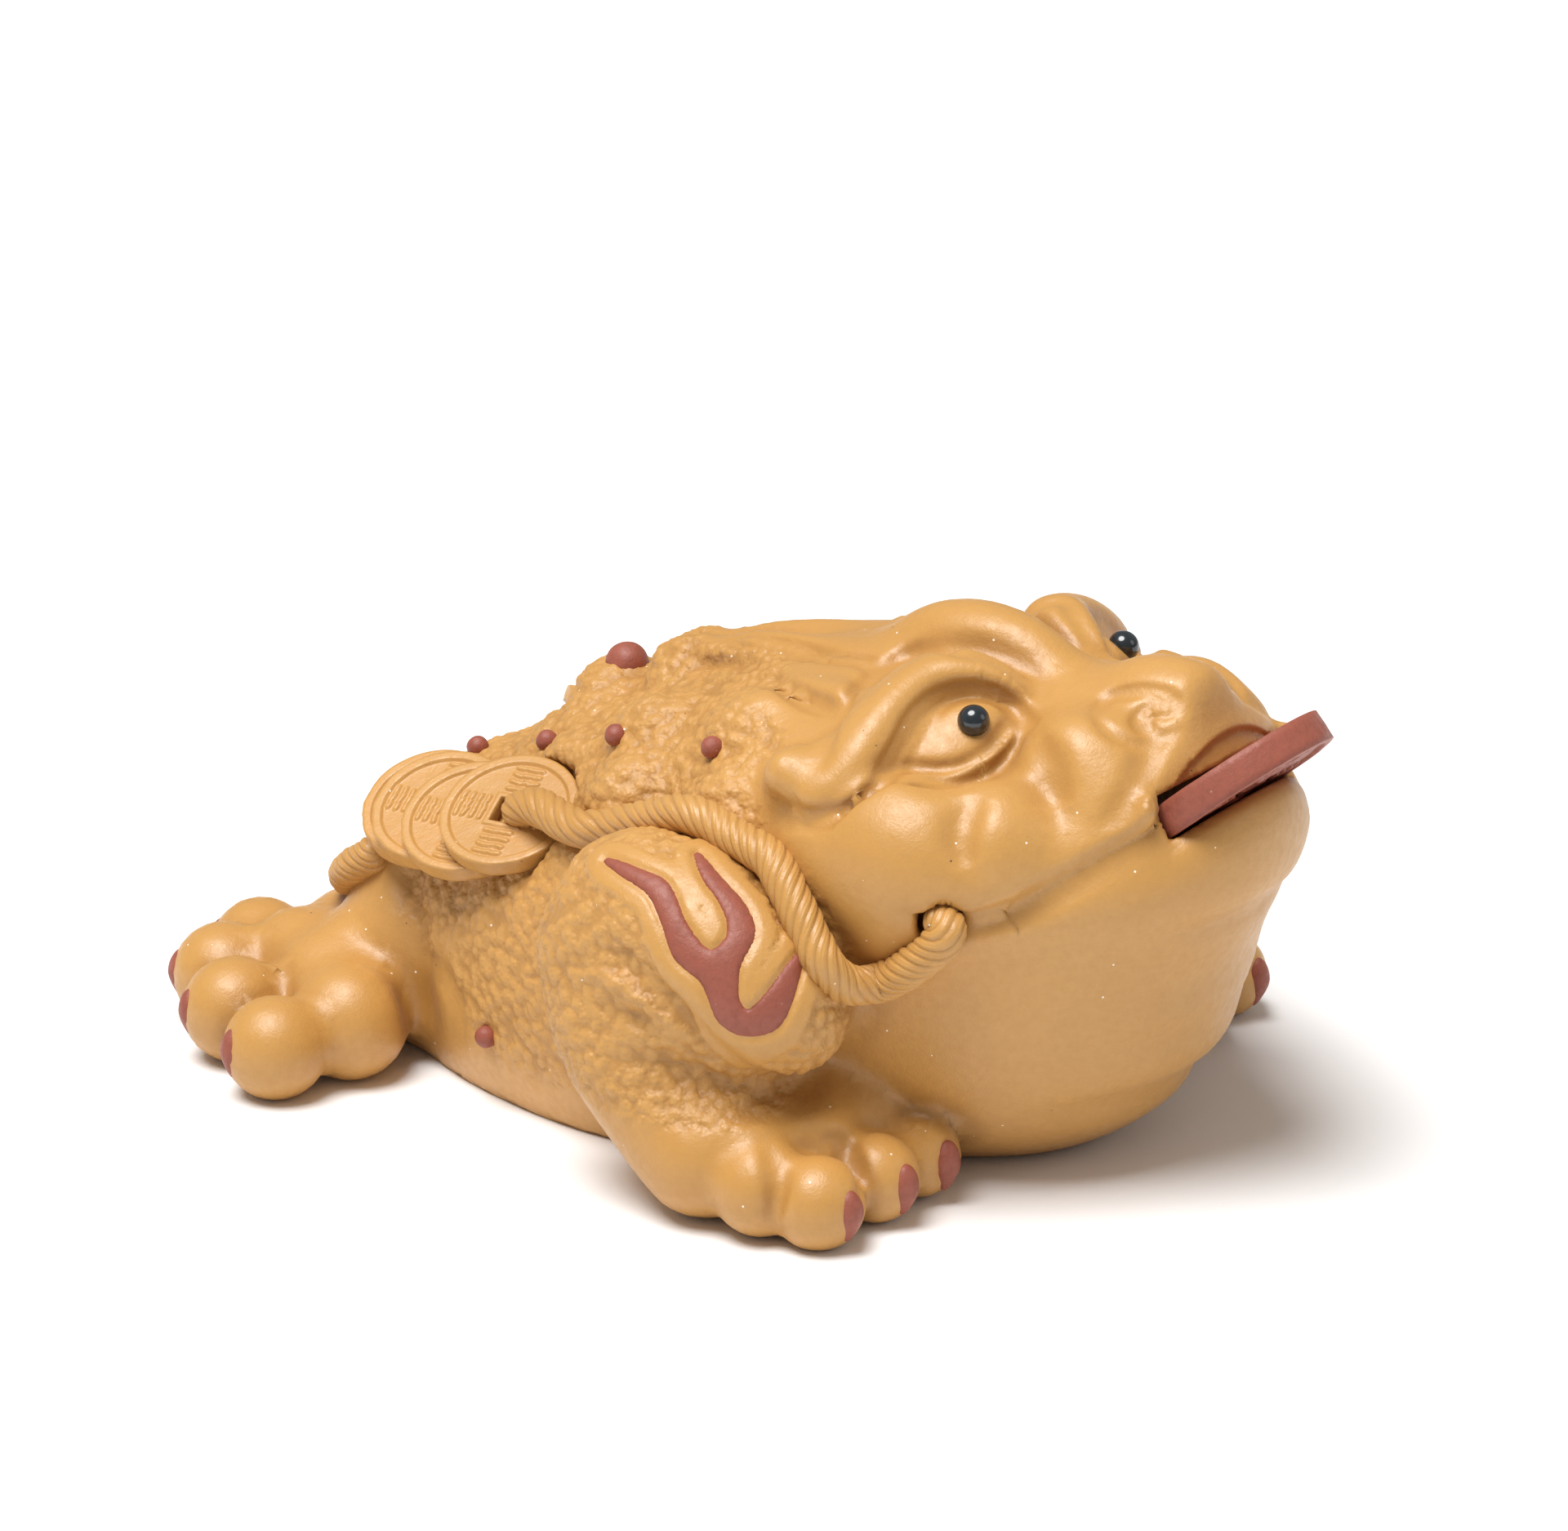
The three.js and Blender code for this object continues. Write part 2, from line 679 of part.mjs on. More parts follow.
function tube(curve, radius) {
  const steps = Math.round(curve.getLength() / ROPE_STEP);
  return new THREE.ExtrudeGeometry(ropeSection(radius), { steps, bevelEnabled: false, extrudePath: curve });
}

// Rope points lie along the skin, a share of the rope's thickness above it.
function ropeLine(points) {
  const height = (ROPE_DIAMETER * ROPE_RISE) / UNIT;
  return points.map((rough) => new THREE.Vector3(...toWorld(clay.settle(rough, height))));
}

// The fanned coins on each side of the back: each lies partly under the one before it.
const COIN_CENTRES = [
  [-25.8, 26.8, 36.9],
  [-32.1, 26.7, 34.7],
  [-38.9, 24.1, 33.9],
  [-42.3, 21.8, 32.7],
];
const COIN_OUT = [0.07, 0.5, 0.865];

function coinPlace(side, i) {
  return {
    centre: new THREE.Vector3(...toWorld(flip(COIN_CENTRES[i], side))),
    out: directionToWorld(flip(COIN_OUT, side)),
  };
}

const ropeCuts = [];

function rope(name, points) {
  const curve = new THREE.CatmullRomCurve3(points);
  place(name, tube(curve, ROPE_DIAMETER / 2), 'clay');
  const cut = solid(tube(curve, ROPE_DIAMETER / 2 + CLEARANCE));
  ropeCuts.push(cut);
  pockets.push(cut);
}

for (const [word, side] of SIDES) {
  const [corner, ...line] = SIDE_ROPE.map((point) => flip(point, side));
  const hole = seat(corner);
  const inside = hole.centre.clone().addScaledVector(hole.out, ROPE_END_MARGIN - CHEEK_HOLE_DEPTH);
  const outside = hole.centre.clone().addScaledVector(hole.out, ROPE_DIAMETER * ROPE_RISE);
  const { centre, out } = coinPlace(side, 0);
  const over = centre.clone().addScaledVector(out, ROPE_DIAMETER * ROPE_ON_COIN);
  over.addScaledVector(FORWARD, ROPE_DIAMETER);
  rope(`rope_${word}`, [inside, outside, ...ropeLine(line), over, centre]);
  const bore = new THREE.CylinderGeometry(1, 1, 1, COIN_SIDES).rotateX(Math.PI / 2);
  const boreRadius = ROPE_DIAMETER / 2 + CHEEK_HOLE_MARGIN;
  bore.scale(boreRadius, boreRadius, 2 * CHEEK_HOLE_DEPTH);
  pockets.push(solid(bore.applyMatrix4(standing(hole.centre, hole.out))));
}
rope('rope_rump', ropeLine(RUMP_ROPE));

// Coins: a flat disc with a rim raised on its upper face and a square hole, its axis along Z.
function disc(radius, low, high) {
  const form = new THREE.CylinderGeometry(radius, radius, high - low, COIN_SIDES).rotateX(Math.PI / 2);
  return solid(form.translate(0, 0, (high + low) / 2));
}

function coin(diameter, thickness) {
  const top = thickness / 2;
  const recess = disc(diameter / 2 - COIN_RIM_WIDTH, top - COIN_RIM_HEIGHT, top + COIN_RIM_HEIGHT);
  const hole = solid(new THREE.BoxGeometry(COIN_HOLE_WIDTH, COIN_HOLE_WIDTH, 2 * thickness));
  return disc(diameter / 2, -top, top).subtract(recess).subtract(hole);
}

function coinRoom(diameter, thickness, above) {
  return disc(diameter / 2 + above, -thickness / 2 - CLEARANCE, thickness / 2 + above);
}

// The coin in the mouth leans up and out between the lips. In its own frame X runs outward, Z up through it.
const MOUTH_COIN_CENTRE = [65.6, 0, 52.4];
const tilt = THREE.MathUtils.degToRad(MOUTH_COIN_TILT);
const mouthOut = directionToWorld([-Math.sin(tilt), 0, Math.cos(tilt)]);
const mouthPlace = standing(new THREE.Vector3(...toWorld(MOUTH_COIN_CENTRE)), mouthOut, FORWARD);
const mouthCoin = coin(MOUTH_COIN_DIAMETER, MOUTH_COIN_THICKNESS).transform(mouthPlace.elements);
place('coin_mouth', geometryOf(mouthCoin), 'redClay');

// Both lips stop short of the coin's front. The lower one is flush with the coin's underside. The upper
// one ends in a wall that is rounded in plan.
const LIP_CORNER = 0.2;
const LIP_WALL_RADIUS = 22.6;
const LIP_WALL_CENTRE = -13.6;
const LIP_ROOM = 30;

function lipBlock(height) {
  const size = LIP_ROOM * UNIT;
  const block = new THREE.BoxGeometry(size, 2 * size, height);
  const floor = -MOUTH_COIN_THICKNESS / 2 - CLEARANCE;
  return solid(block.translate(LIP_CORNER * UNIT + size / 2, 0, floor + height / 2));
}

const lipHeight = LIP_ROOM * UNIT;
const lipWall = disc(LIP_WALL_RADIUS * UNIT, -lipHeight, lipHeight).translate(LIP_WALL_CENTRE * UNIT, 0, 0);
const mouthRooms = [
  coinRoom(MOUTH_COIN_DIAMETER, MOUTH_COIN_THICKNESS, SLOT_HEADROOM),
  lipBlock(MOUTH_COIN_THICKNESS + SLOT_HEADROOM + CLEARANCE),
  lipBlock(lipHeight).subtract(lipWall),
];
for (const part of mouthRooms) {
  pockets.push(part.transform(mouthPlace.elements));
}

for (const [word, side] of SIDES) {
  let above = null;
  for (let i = 0; i < COIN_CENTRES.length; i += 1) {
    const { centre, out } = coinPlace(side, i);
    const { elements } = standing(centre, out);
    const room = coinRoom(BACK_COIN_DIAMETER, BACK_COIN_THICKNESS, CLEARANCE).transform(elements);
    let form = coin(BACK_COIN_DIAMETER, BACK_COIN_THICKNESS).transform(elements);
    for (const cut of above ? [above, ...ropeCuts] : ropeCuts) {
      form = form.subtract(cut);
    }
    place(`coin_${word}_${i + 1}`, geometryOf(form), 'clay');
    pockets.push(room);
    above = above ? above.add(room) : room;
  }
}

// A red flame let into each upper arm, on a plane that lies along the arm: (forward, up) on that plane.
// Its outline is swelled evenly all round.
const FLAME_CENTRE = [20.6, 47.4, 36.9];
const FLAME_OUT = [0.36, 0.7, 0.62];
const FLAME_FLOOR = -4.4;
const FLAME_TOP = 8;
const LONGEST_MITRE = 3;
const FLAME = [
  [-14.6, 10.5],
  [-9.1, 8.1],
  [-6, 6.2],
  [-3.1, 0.8],
  [0, -2.2],
  [2.2, 0.1],
  [1.2, 3.8],
  [-1.7, 7.7],
  [-3.2, 11.5],
  [0.2, 7.8],
  [3.7, 4],
  [5, 0.4],
  [3.6, -3.9],
  [3.8, -7.8],
  [5.3, -8.8],
  [7.8, -6.1],
  [10.8, -0.9],
  [10.2, -6.3],
  [8.5, -10],
  [5, -11.1],
  [1.7, -10],
  [-0.6, -5.8],
  [-4.1, -2.9],
  [-6.1, 1.5],
  [-8.2, 5.2],
  [-12.1, 8.1],
];

// The outline with every edge pushed outward by `grow`, its points as (up, across) for the given side.
function flameOutline(side, grow) {
  const points = FLAME.map(([forward, up]) => new THREE.Vector2(forward, up).multiplyScalar(UNIT));
  const outward = points.map((point, i) => {
    const along = new THREE.Vector2().subVectors(points[(i + 1) % points.length], point).normalize();
    return new THREE.Vector2(-along.y, along.x);
  });
  return points.map((point, i) => {
    const one = outward[(i + points.length - 1) % points.length];
    const other = outward[i];
    const share = Math.min(1 / (1 + one.dot(other)), LONGEST_MITRE);
    const x = point.x + (one.x + other.x) * share * grow;
    const y = point.y + (one.y + other.y) * share * grow;
    return new THREE.Vector2(y, side * x);
  });
}

function flameBlock(side, grow) {
  const floor = FLAME_FLOOR * UNIT - grow;
  const depth = FLAME_TOP * UNIT - floor;
  const outline = new THREE.Shape(flameOutline(side, grow));
  const block = new THREE.ExtrudeGeometry(outline, { depth, bevelEnabled: false }).translate(0, 0, floor);
  const centre = new THREE.Vector3(...toWorld(flip(FLAME_CENTRE, side)));
  return solid(block.applyMatrix4(standing(centre, directionToWorld(flip(FLAME_OUT, side)))));
}

const whole = skin(clay);

for (const [word, side] of SIDES) {
  let flame = flameBlock(side, FLAME_SWELL).intersect(whole);
  for (const cut of ropeCuts) {
    flame = flame.subtract(cut);
  }
  place(`flame_${word}`, geometryOf(flame), 'redClay');
  pockets.push(flameBlock(side, FLAME_SWELL + CLEARANCE));
}

// The body stands on its flat underside, and gives room to every piece let into it.
const room = 4 * FIGURE_LENGTH;
const aboveGround = solid(new THREE.BoxGeometry(room, room, room).translate(0, 0, room / 2));
let body = whole.intersect(aboveGround);
for (const pocket of pockets) {
  body = body.subtract(pocket);
}
place('toad_body', geometryOf(body), 'clay');

export default toad;
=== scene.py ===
"""A money toad of ochre clay with red clay details, finished for a picture."""
import itertools

import bpy
import numpy as np
from mathutils import Matrix, Vector
from mathutils.geometry import delaunay_2d_cdt

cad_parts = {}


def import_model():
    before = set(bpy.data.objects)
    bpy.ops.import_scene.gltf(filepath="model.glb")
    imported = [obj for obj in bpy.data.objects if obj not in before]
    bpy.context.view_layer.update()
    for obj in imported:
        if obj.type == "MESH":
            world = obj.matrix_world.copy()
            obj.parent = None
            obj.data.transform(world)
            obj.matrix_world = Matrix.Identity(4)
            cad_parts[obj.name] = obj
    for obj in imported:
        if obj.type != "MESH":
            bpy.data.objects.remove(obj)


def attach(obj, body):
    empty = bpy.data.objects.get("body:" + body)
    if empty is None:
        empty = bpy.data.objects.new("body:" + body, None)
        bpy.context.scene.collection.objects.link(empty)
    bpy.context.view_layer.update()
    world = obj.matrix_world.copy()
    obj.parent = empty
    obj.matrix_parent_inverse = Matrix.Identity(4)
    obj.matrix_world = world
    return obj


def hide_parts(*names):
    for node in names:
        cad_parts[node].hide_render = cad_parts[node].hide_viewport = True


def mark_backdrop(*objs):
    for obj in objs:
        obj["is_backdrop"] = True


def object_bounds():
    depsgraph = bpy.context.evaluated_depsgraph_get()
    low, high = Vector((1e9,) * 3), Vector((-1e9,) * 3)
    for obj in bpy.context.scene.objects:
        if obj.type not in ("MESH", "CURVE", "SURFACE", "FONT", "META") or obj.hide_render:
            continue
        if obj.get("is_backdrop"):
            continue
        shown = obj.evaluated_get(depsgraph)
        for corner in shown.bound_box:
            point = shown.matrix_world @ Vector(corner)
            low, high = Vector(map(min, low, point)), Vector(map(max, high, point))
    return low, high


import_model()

cad_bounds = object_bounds()

# Sizes in millimetres, as in the solid model.
FIGURE_LENGTH = 146
EYE_RADIUS = 1.85
WART_RADIUS = 1.35
GREAT_WART_RADIUS = 2.6
CLAW = (6.2, 3.6, 3.0)
ROPE_DIAMETER = 4.6
MOUTH_COIN_DIAMETER = 24.6
MOUTH_COIN_THICKNESS = 3.8
MOUTH_COIN_TILT = 41
SLOT_HEADROOM = 0.5
BACK_COIN_DIAMETER = 17
BACK_COIN_THICKNESS = 2.2
COIN_HOLE_WIDTH = 3.6
CLEARANCE = 0.3
FLAME_SWELL = 0.4

BEAD_RISE = 0.15
GREAT_WART_RISE = -0.3
CLAW_SINK = 0.82
ROPE_RISE = 0.28
ROPE_ON_COIN = 0.62

# Form is laid out in 160ths of the figure's length: (forward, side, up). One unit in millimetres:
UNIT = FIGURE_LENGTH / 160
METRES = 0.001

# How far past its own size a step of the clay is felt, and how softly the two sides meet in the middle.
REACH = 7.0
FOLD = 0.6
# The clay's field before the first step, the share of its distance that a settling point moves in one round,
# and how far to both sides the slope is taken.
EMPTY = 60.0
SETTLE_SHARE = 0.9
SLOPE_STEP = 0.2
# Strengths of a line on the skin at its two ends: faded at both, at the first only, or at neither.
FADED = (0.2, 0.2)
FADED_IN = (0.2, 1.0)
WHOLE = (1.0, 1.0)
# What stands for nothing near, for the middle of a lobe and for a length of nothing.
NONE_NEAR = 1e3
MIDDLE_SHARE = 1e-3
TINY = 1e-9


def world(points):
    """Layout points (forward, side, up) in metres, facing -Y."""
    p = np.asarray(points, float)
    return np.stack([p[..., 1], -p[..., 0], p[..., 2]], -1) * UNIT * METRES


def world_way(way):
    f, x, z = way
    return Vector((x, -f, z)).normalized()


def flip(point, side):
    return (point[0], point[1] * side, *point[2:])


# Soft modelling in a distance field.
def rotation(yaw, pitch, roll):
    """Turns about the up, side and forward axes, in degrees."""
    y, p, r = np.radians([yaw, pitch, roll])
    about_up = np.array([[np.cos(y), -np.sin(y), 0], [np.sin(y), np.cos(y), 0], [0, 0, 1]])
    about_side = np.array([[np.cos(p), 0, -np.sin(p)], [0, 1, 0], [np.sin(p), 0, np.cos(p)]])
    about_forward = np.array([[1, 0, 0], [0, np.cos(r), -np.sin(r)], [0, np.sin(r), np.cos(r)]])
    return about_up @ about_side @ about_forward


def between(a, b, c, d, steps):
    """Even steps from b to c on a smooth curve through all four points."""
    square = 2 * a - 5 * b + 4 * c - d
    cube = 3 * b - a - 3 * c + d
    return [0.5 * (2 * b + (c - a) * t + square * t**2 + cube * t**3) for t in np.arange(steps) / steps]


def spread(points, steps=5):
    """A curve through the points; every column is interpolated, so a radius may ride along."""
    p = np.array(points, float)
    if len(p) < 3:
        return p
    ends = np.vstack([2 * p[0] - p[1], p, 2 * p[-1] - p[-2]])
    out = []
    for i in range(len(p) - 1):
        out += between(*ends[i : i + 4], steps)
    return np.array(out + [p[-1]])


def unit(rows):
    """The rows at a length of 1."""
    return rows / np.maximum(np.linalg.norm(rows, axis=1, keepdims=True), TINY)


def length(rows):
    return np.linalg.norm(rows, axis=1)


def smooth_min(a, b, blend):
    h = np.maximum(blend - np.abs(a - b), 0) / blend
    return np.minimum(a, b) - h * h * blend / 4


def smooth_step(low, high, value):
    t = np.clip((value - low) / (high - low), 0, 1)
    return t * t * (3 - 2 * t)


def to_segment(p, a, b):
    """How far each point is along the way from a to b, from 0 to 1, and its distance from there."""
    ab = b - a
    t = np.clip((p - a) @ ab / max(ab @ ab, TINY), 0, 1)
    return t, length(p - a - t[:, None] * ab)


def near_path(p, path):
    """Distance to a path, the path's last column at the nearest place, and the least of their difference."""
    best = np.full(len(p), NONE_NEAR)
    extra = np.ones(len(p))
    least = np.full(len(p), NONE_NEAR)
    for a, b in zip(path[:-1], path[1:]):
        t, gap = to_segment(p, a[:3], b[:3])
        here = a[3] + t * (b[3] - a[3])
        extra = np.where(gap < best, here, extra)
        best = np.minimum(best, gap)
        least = np.minimum(least, gap - here)
    return best, extra, least


class Clay:
    """A list of steps, each changing the field inside its own box."""

    def __init__(self):
        self.steps = []

    def put(self, low, high, change, mirrored):
        self.steps.append((np.array(low, float), np.array(high, float), change, mirrored))

    def join(self, low, high, gap, blend, cut, mirrored):
        def change(p, d):
            if cut:
                return -smooth_min(-d, gap(p), blend)
            return smooth_min(d, gap(p), blend)

        self.put(low, high, change, mirrored)

    def lobe(self, centre, radii, blend, turn=(0, 0, 0), cut=False, mirrored=True):
        """A round lobe of clay, or a cut of that form."""
        c, r, m = np.array(centre, float), np.array(radii, float), rotation(*turn)
        half = np.sqrt((m**2) @ (r**2)) + REACH + blend

        def gap(p):
            q = (p - c) @ m
            k0 = length(q / r)
            k1 = length(q / r**2)
            return np.where(k0 < MIDDLE_SHARE, -r.min(), k0 * (k0 - 1) / np.maximum(k1, TINY))

        self.join(c - half, c + half, gap, blend, cut, mirrored)

    def ball(self, place, blend, mirrored=True):
        """A round lobe, from its centre and radius."""
        self.lobe(place[:3], [place[3]] * 3, blend, mirrored=mirrored)

    def limb(self, points, blend, cut=False, mirrored=True):
        """A rounded stroke of clay along points that carry a radius."""
        path = spread(points)
        wide = path[:, 3].max() + REACH + blend
        low, high = path[:, :3].min(0) - wide, path[:, :3].max(0) + wide
        self.join(low, high, lambda p: near_path(p, path)[2], blend, cut, mirrored)

    def crease(self, points, width, depth, ends=FADED, mirrored=True):
        """A soft groove along a curve on the skin, or a ridge where the depth is negative."""
        path = spread(np.column_stack([points, [ends[0], *[1.0] * (len(points) - 2), ends[1]]]))

        def change(p, d):
            gap, strength, _ = near_path(p, path)
            return d + depth * strength * np.exp(-((gap / width) ** 2))

        self.put(path[:, :3].min(0) - 3 * width, path[:, :3].max(0) + 3 * width, change, mirrored)

    def field(self, points):
        d = np.full(len(points), EMPTY)
        folded = points.copy()
        folded[:, 1] = np.sqrt(points[:, 1] ** 2 + FOLD)
        for low, high, change, mirrored in self.steps:
            q = folded if mirrored else points
            inside = np.flatnonzero(((q > low) & (q < high)).all(1))
            if len(inside):
                d[inside] = change(q[inside], d[inside])
        return d

    def slope(self, points):
        """The way straight out of the clay at each point."""
        along = []
        for axis in range(3):
            step = np.zeros(3)
            step[axis] = SLOPE_STEP
            along.append(self.field(points + step) - self.field(points - step))
        return unit(np.stack(along, 1))

    def settle(self, points, level=0.0, rounds=6):
        """Moves points straight to the skin, or to a level above or below it."""
        q = np.array(points, float)
        for _ in range(rounds):
            q = q - self.slope(q) * (self.field(q) - level)[:, None] * SETTLE_SHARE
        return q


# The toad's form, in the same steps as in the solid model, and finer ones after them.

def torso(c):
    c.lobe((-25, 0, 12), (31, 33, 30), 10)
    c.lobe((-6, 0, 16), (33, 39, 37), 10)
    c.lobe((16, 0, 26), (26, 34, 33), 8)
    c.lobe((28, 0, 26), (36, 32, 29.5), 8)
    c.lobe((30, 0, 43), (39.5, 33, 17), 13)


def head(c):
    c.lobe((32, 0, 49.5), (22, 25, 12), 6, turn=(0, 4, 0))
    c.lobe((50, 0, 53), (17, 13, 9), 6, turn=(0, -4, 0))
    c.lobe((34, 27, 44), (15, 10, 11), 6)
    c.lobe((29, 0, 58), (15.5, 7.5, 10.8), 3)
    c.lobe((56.5, 0, 58), (12, 8, 9), 3)
    # upper lip
    c.lobe((61.4, 0, 51.9), (14.5, 18, 5.8), 3, turn=(0, 36, 0))
    # chin
    c.lobe((55, 0, 46.5), (16.5, 21, 13), 7, turn=(0, 6, 0))


EYE = (38.3, 16.9, 59.7)


def face(c):
    # socket of the eye, and the eyeball in it
    c.lobe((40, 22.5, 63.5), (12, 11.5, 11), 3, cut=True)
    c.lobe((33.4, 15.2, 52.6), (11.5, 9, 7.6), 2, turn=(-43, 12, 0))
    c.lobe((34.2, 14.8, 55.8), (8.6, 6, 5.4), 1, turn=(-43, 20, 0))
    # muzzle lobes between the nose and the cheek
    c.lobe((53, 12, 52.5), (8, 7.5, 10), 4, turn=(-35, 30, 0))
    c.lobe((46, 24, 47), (8, 8, 8.2), 3, turn=(-40, 10, 0))
    c.lobe((36.5, 29, 45), (10, 8.5, 9.5), 3)
    # brow: from the nose over the eye, round and down to a curled end
    c.limb([(42.8, 5.4, 59, 1.8), (40.9, 6.8, 59.8, 2.6), (37, 8.8, 61.6, 3.4), (32.3, 11.4, 62.4, 4),
            (29.5, 15, 61, 4.5), (28.6, 20.4, 58, 5.2), (27.4, 24.8, 54.6, 5.9),
            (25.2, 29, 51, 6)], 0.8)
    c.lobe((20.8, 28.8, 51.6), (4.8, 4.6, 5), 0.8)


# Lines that are pressed in twice, softly and then finely.
MUZZLE_LINE = ((47.5, 16.6, 59.7), (50.8, 19.5, 57.7), (52.2, 20.6, 55.5), (54.2, 21.6, 53.2))
CHEEK_LINE = ((45.9, 26.7, 54.9), (45.9, 29.9, 53.1), (46.6, 31.9, 50.5), (48.3, 32.3, 47.4))
NOSE_LINE = ((60.2, 9.8, 60.2), (61.7, 13.7, 58.3), (62.2, 16.7, 56.4), (61.5, 19.1, 53.7),
             (59.7, 20.5, 51.7))
MOUTH_LINE = ((47.5, 32.2, 39.4), (52.5, 28.6, 41.5), (56.8, 25.1, 44.1), (60.7, 21.9, 47.2),
              (64.1, 19, 50.3), (66.4, 17.1, 52.4))
SPINE_TUFT_LINE = ((-11.9, 2.7, 57.2), (-5.7, 4.6, 58.8), (-0.6, 5.5, 59.5), (5.4, 6.9, 59.8),
                   (11.9, 9, 60.9), (16.8, 9.6, 61.6), (20, 11.4, 61.6))
BROW_TUFT_LINE = ((-0.9, 12.3, 55.9), (5, 13.6, 58.1), (10.6, 17, 58.6), (15.2, 19.1, 58.5),
                  (20.8, 21, 59.1))


def face_lines(c):
    # between the forehead and the brow
    c.crease([(23.1, 20, 61.4), (21, 10.6, 61.9), (24.1, 7, 63.4), (29.5, 5.9, 64.8), (34.6, 5.3, 64.7),
              (39.4, 5.7, 63.4), (44.1, 7.7, 62.2)], 1.8, 0.9)
    # between the muzzle lobes, between them and the cheek, beside the nose, and the mouth
    c.crease(MUZZLE_LINE, 2.4, 1.7)
    c.crease(CHEEK_LINE, 2.2, 1.5)
    c.crease(NOSE_LINE, 2.0, 1.5)
    c.crease(MOUTH_LINE, 1.7, 1.4, WHOLE)
    # lower lip
    c.crease([(47.7, 31, 37.1), (52.7, 27.7, 39), (58.5, 24, 42.6), (62.9, 20.5, 46.3),
              (66.5, 16.8, 50.2)], 1.8, -0.5)


def fine_brow(c):
    # crown along the roll, and the ball at its curled end
    c.crease([(39.9, 10.6, 62.4), (35.5, 13.1, 64.5), (31.8, 16.6, 64.6), (30.2, 21.7, 62.9),
              (29.8, 27.5, 59.4), (29.6, 31.1, 55.7), (27.5, 34.2, 53)], 2.6, -0.8)
    c.lobe((21.0, 31.4, 53.2), (3.3, 3.6, 3.9), 0.7)
    # above the roll
    c.crease([(45.2, 9.8, 61.5), (40.8, 7.9, 62.8), (36.2, 9.6, 65.6), (31.7, 11.9, 66.4),
              (22.6, 6.5, 62.6), (20.2, 11.2, 60.9), (22.1, 21.1, 59.8), (25.1, 29.9, 57.9),
              (26, 32.9, 55.5)], 1.3, 1.1)
    # under the roll
    c.crease([(43.9, 12.2, 59.6), (39.8, 11.3, 60.8), (36.7, 13, 62.4), (33.6, 16.5, 62.2),
              (32.9, 21.5, 60.7), (32.9, 26, 57), (33.6, 30.2, 54.7), (31.5, 32.9, 51.9), (28.1, 35, 50.3),
              (23.3, 34.6, 50), (19.5, 33.2, 51.7)], 1.2, 1.7)


def fine_muzzle(c):
    c.crease(MUZZLE_LINE, 1.3, 0.9)
    c.crease(CHEEK_LINE, 1.2, 0.9)
    c.crease(NOSE_LINE, 1.3, 0.9)
    c.crease(MOUTH_LINE, 1.1, 1.4, WHOLE)


def fine_tufts(c):
    c.crease(SPINE_TUFT_LINE, 1.2, 1.5)
    c.crease(BROW_TUFT_LINE, 1.2, 1.2)


def fine_limbs(c):
    # fold across the arm under the flame, and the tendons beside it
    c.crease([(7.7, 52.3, 34), (11.2, 52.8, 33.1), (14.4, 53, 31.9), (19, 52.5, 28.5), (22.7, 50.9, 24.6),
              (25.6, 48, 21), (27.7, 42.3, 18), (28.4, 36.3, 16.4)], 1.7, 2.0)
    c.crease([(5.6, 52.4, 31.2), (9.6, 52.8, 30.4), (14.6, 53, 28.9), (20, 51.9, 25.7)], 1.5, -1.1)
    c.crease([(7.7, 53.2, 24.7), (11.6, 52.6, 23.8), (18.6, 52, 23.7)], 1.5, -1.0)
    # grooves of the front toes, and the ridge above them
    c.crease([(29.6, 48.9, 12.5), (32.1, 50.7, 11.1), (33.5, 52.3, 8.2), (32.9, 52.5, 3.7)], 1.4, 1.2)
    c.crease([(32.7, 41.8, 11.7), (34.6, 40, 10.7), (37.6, 41.4, 8.6), (41.7, 46.3, 7)], 1.3, 1.4)
    c.crease([(22.9, 51.2, 14.7), (26.4, 49.2, 13.5), (29.3, 44.6, 12.3), (31.9, 41.3, 12.6)], 2.0, -0.7)
    # crease of the hind leg
    c.crease([(-38.4, 28.9, 16.1), (-32.3, 32.6, 14.7), (-29.6, 33.7, 11.1), (-31.6, 32.1, 5.6)], 1.4, 1.0)


def fine_face(c):
    # under the eyeball
    c.crease([(33.3, 25.4, 55.8), (35, 23.9, 55.2), (37.2, 22.8, 55.2), (39.5, 20.8, 55.7),
              (41.1, 17.7, 57.1), (41.2, 15.1, 58.4), (40.9, 13.5, 59.4)], 0.8, 0.8)
    # lower lid
    c.crease([(34.7, 27.1, 55.1), (36.6, 24.1, 54.4), (39.1, 21.9, 54.5), (41.4, 18.6, 55.8),
              (42.1, 15.6, 57.2), (42.2, 13.4, 58.2)], 0.8, -0.5)
    # under the lid
    c.crease([(34, 30.5, 53.6), (37.2, 28.6, 54.1), (39.8, 25.2, 54), (41.4, 21.2, 54.1),
              (42.3, 17.7, 55.1), (43, 15.7, 56.5), (43.1, 13.5, 58.1)], 0.9, 0.8)
    # nostril above
    c.crease([(52.4, 11.4, 62.4), (51.4, 7.5, 62.7), (53.2, 6.3, 63.6), (56.8, 5.8, 64.4),
              (60.1, 5.5, 64.1), (62.7, 5.8, 62.6)], 0.9, 1.2)
    # nostril below
    c.crease([(52.4, 11.4, 62.4), (55.1, 13.1, 61.5), (57.5, 12.9, 60.4), (59.6, 11.6, 59.8),
              (61.1, 9.4, 60.2), (62.5, 7.3, 61.3)], 0.9, 1.1)
    # nostril
    c.crease([(61.4, 6.4, 62.6), (59.6, 6.8, 62.9), (58.1, 7.2, 62.7), (57.5, 8.2, 61.9), (58, 9.1, 61.3),
              (59.2, 9.7, 60.6)], 1.1, 2.2)


